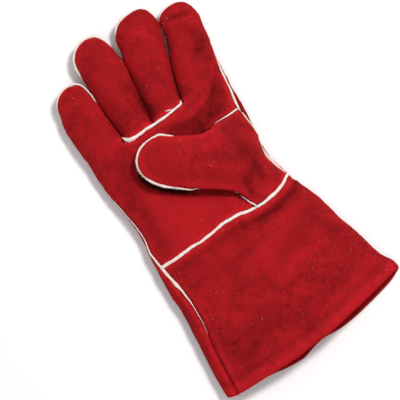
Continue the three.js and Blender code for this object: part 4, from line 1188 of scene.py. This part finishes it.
stitch_row("hem_stitches", cuff, hem_line(cuff, "hem_front", np.linspace(-66, 112, 90)), 3.9, 3.0, 0.42)
back_line = hem_line(back, "hem_back", np.linspace(-70, 100, 80))
back_line[:, 2] = np.clip(back_line[:, 2], 0, 4)
stitch_row("hem_stitches_back", back, back_line, 3.9, 3.0, 0.38, lift=-0.1)
side_line = []
for v in stations(-118, -160, 1.0):
    c = lambda p: dome(v, p)
    side_line.append(c(np.array([arc(c, PI - float(seam_angle(v, -1)), -5.8)]))[0])
stitch_row("side_stitches", cuff, np.array(side_line), 3.9, 3.0, 0.30, lift=0.0)


def strands(name, R, D, length, width, material, bend=None):
    """Thin three-sided hairs with a root triangle and a tip."""
    n = len(R)
    a = unit(np.cross(D, np.random.default_rng(5).normal(size=(n, 3))))
    b = np.cross(D, a)
    w = np.asarray(width)[:, None]
    V = np.stack([R + a * w, R - 0.5 * a * w + 0.87 * b * w, R - 0.5 * a * w - 0.87 * b * w, R + D * np.asarray(length)[:, None]], 1)
    one = np.array([[0, 1, 3], [1, 2, 3], [2, 0, 3], [0, 2, 1]])
    F = (one[None] + 4 * np.arange(n)[:, None, None]).reshape(-1, 3)
    o = mesh_object(name, V.reshape(-1, 3), F, material, smooth_angle=180)
    return o


def scatter(panel, n, seed, weight=None):
    r = np.random.default_rng(seed)
    V, F = panel.V, panel.F
    c = np.cross(V[F[:, 1]] - V[F[:, 0]], V[F[:, 2]] - V[F[:, 0]])
    area = np.linalg.norm(c, axis=1)
    w = area if weight is None else area * weight(V[F].mean(1), unit(c))
    f = r.choice(len(F), n, p=w / w.sum())
    a, b = r.random(n), r.random(n)
    over = a + b > 1
    a[over], b[over] = 1 - a[over], 1 - b[over]
    P = V[F[f, 0]] * (1 - a - b)[:, None] + V[F[f, 1]] * a[:, None] + V[F[f, 2]] * b[:, None]
    return P, unit(c[f]), r


def nap(panel, n, seed, lo=0.35, hi=0.95):
    edge = lambda P, N: 0.35 + 1.4 * np.clip(1 - N[:, 2], 0, 1)
    P, N, r = scatter(panel, n, seed, edge)
    D = unit(N * 0.75 + 0.75 * r.normal(size=(n, 3)))
    D = np.where((np.einsum("ij,ij->i", D, N) < 0.1)[:, None], unit(D + N), D)
    up = P[:, 2] > 1.0
    P, D = P[up], D[up]
    L = r.uniform(lo, hi, len(P))
    return P - D * 0.1, D, L, r.uniform(0.035, 0.075, len(P))


parts = [nap(palm, 9000, 101), nap(middles, 4200, 102), nap(cuff, 9500, 103), nap(thumb, 4200, 104), nap(back, 9000, 105)]
R, D, L, W = (np.concatenate(x) for x in zip(*parts))
strands("nap", R, D, L, W, FLUFF)

# frayed fibres of the piping
R, D, L, W = [], [], [], []
rng = np.random.default_rng(7)
for P, rad, U, S, T in PIPES:
    n = int(len(P) * 0.7 * 4.5)
    i = rng.integers(0, len(P), n)
    a = rng.uniform(-0.3, PI + 0.3, n)
    N = S[i] * np.cos(a)[:, None] + U[i] * np.sin(a)[:, None]
    R.append(P[i] + N * rad[i, None] * 0.92)
    D.append(unit(N * 0.8 + T[i] * rng.normal(size=(n, 1)) * 0.9 + 0.3 * rng.normal(size=(n, 3))))
    at_tip = 1 + 1.9 * np.exp(-((P[i] - [-35, 46, 32]) ** 2).sum(1) / 130)
    L.append(rng.uniform(0.25, 0.8, n) * np.clip(rad[i], 0.4, 1.3) * at_tip)
    W.append(rng.uniform(0.04, 0.09, n))
strands("piping_frays", np.concatenate(R), np.concatenate(D), np.concatenate(L), np.concatenate(W), PIPING)

# white lint caught in the nap
R, D, L, W = [], [], [], []
for panel, n, seed in ((palm, 22, 201), (middles, 8, 202), (cuff, 22, 203), (thumb, 6, 304)):
    P, N, r = scatter(panel, n, seed, lambda P, N: (N[:, 2] > 0.6) + 1e-9)
    t = unit(r.normal(size=(n, 3)))
    t = unit(t - N * (t * N).sum(1)[:, None] + 0.25 * N)
    R.append(P + N * 0.25); D.append(t); L.append(r.uniform(0.5, 1.1, n)); W.append(r.uniform(0.20, 0.32, n))
for x, y, turn, size in ((106, -121.5, 40, 4.5), (69.9, 164.0, -50, 2.6), (23, 12, 120, 1.6)):
    best = min((panel.V for panel in (palm, cuff, thumb, middles)), key=lambda V: ((V[:, :2] - [x, y]) ** 2).sum(1).min() - 0.02 * V[:, 2].max())
    near = best[((best[:, :2] - [x, y]) ** 2).sum(1) < 6]
    if len(near):
        a = math.radians(turn)
        R.append(near[[near[:, 2].argmax()]] + [0, 0, 0.3]); D.append(unit(np.array([[math.cos(a), math.sin(a), 0.12]])))
        L.append(np.array([size])); W.append(np.array([0.28]))
strands("lint", np.concatenate(R), np.concatenate(D), np.concatenate(L), np.concatenate(W), PIPING)

# floor
bpy.ops.mesh.primitive_plane_add(size=6, location=(0, 0, -0.0002))
floor = bpy.context.object
floor.name = "floor"
fm, nt, b, new = nodes_of("floor_pale")
b.inputs["Base Color"].default_value = (0.95, 0.95, 0.95, 1)
b.inputs["Roughness"].default_value = 0.9
b.inputs["Specular IOR Level"].default_value = 0.1
floor.data.materials.append(fm)
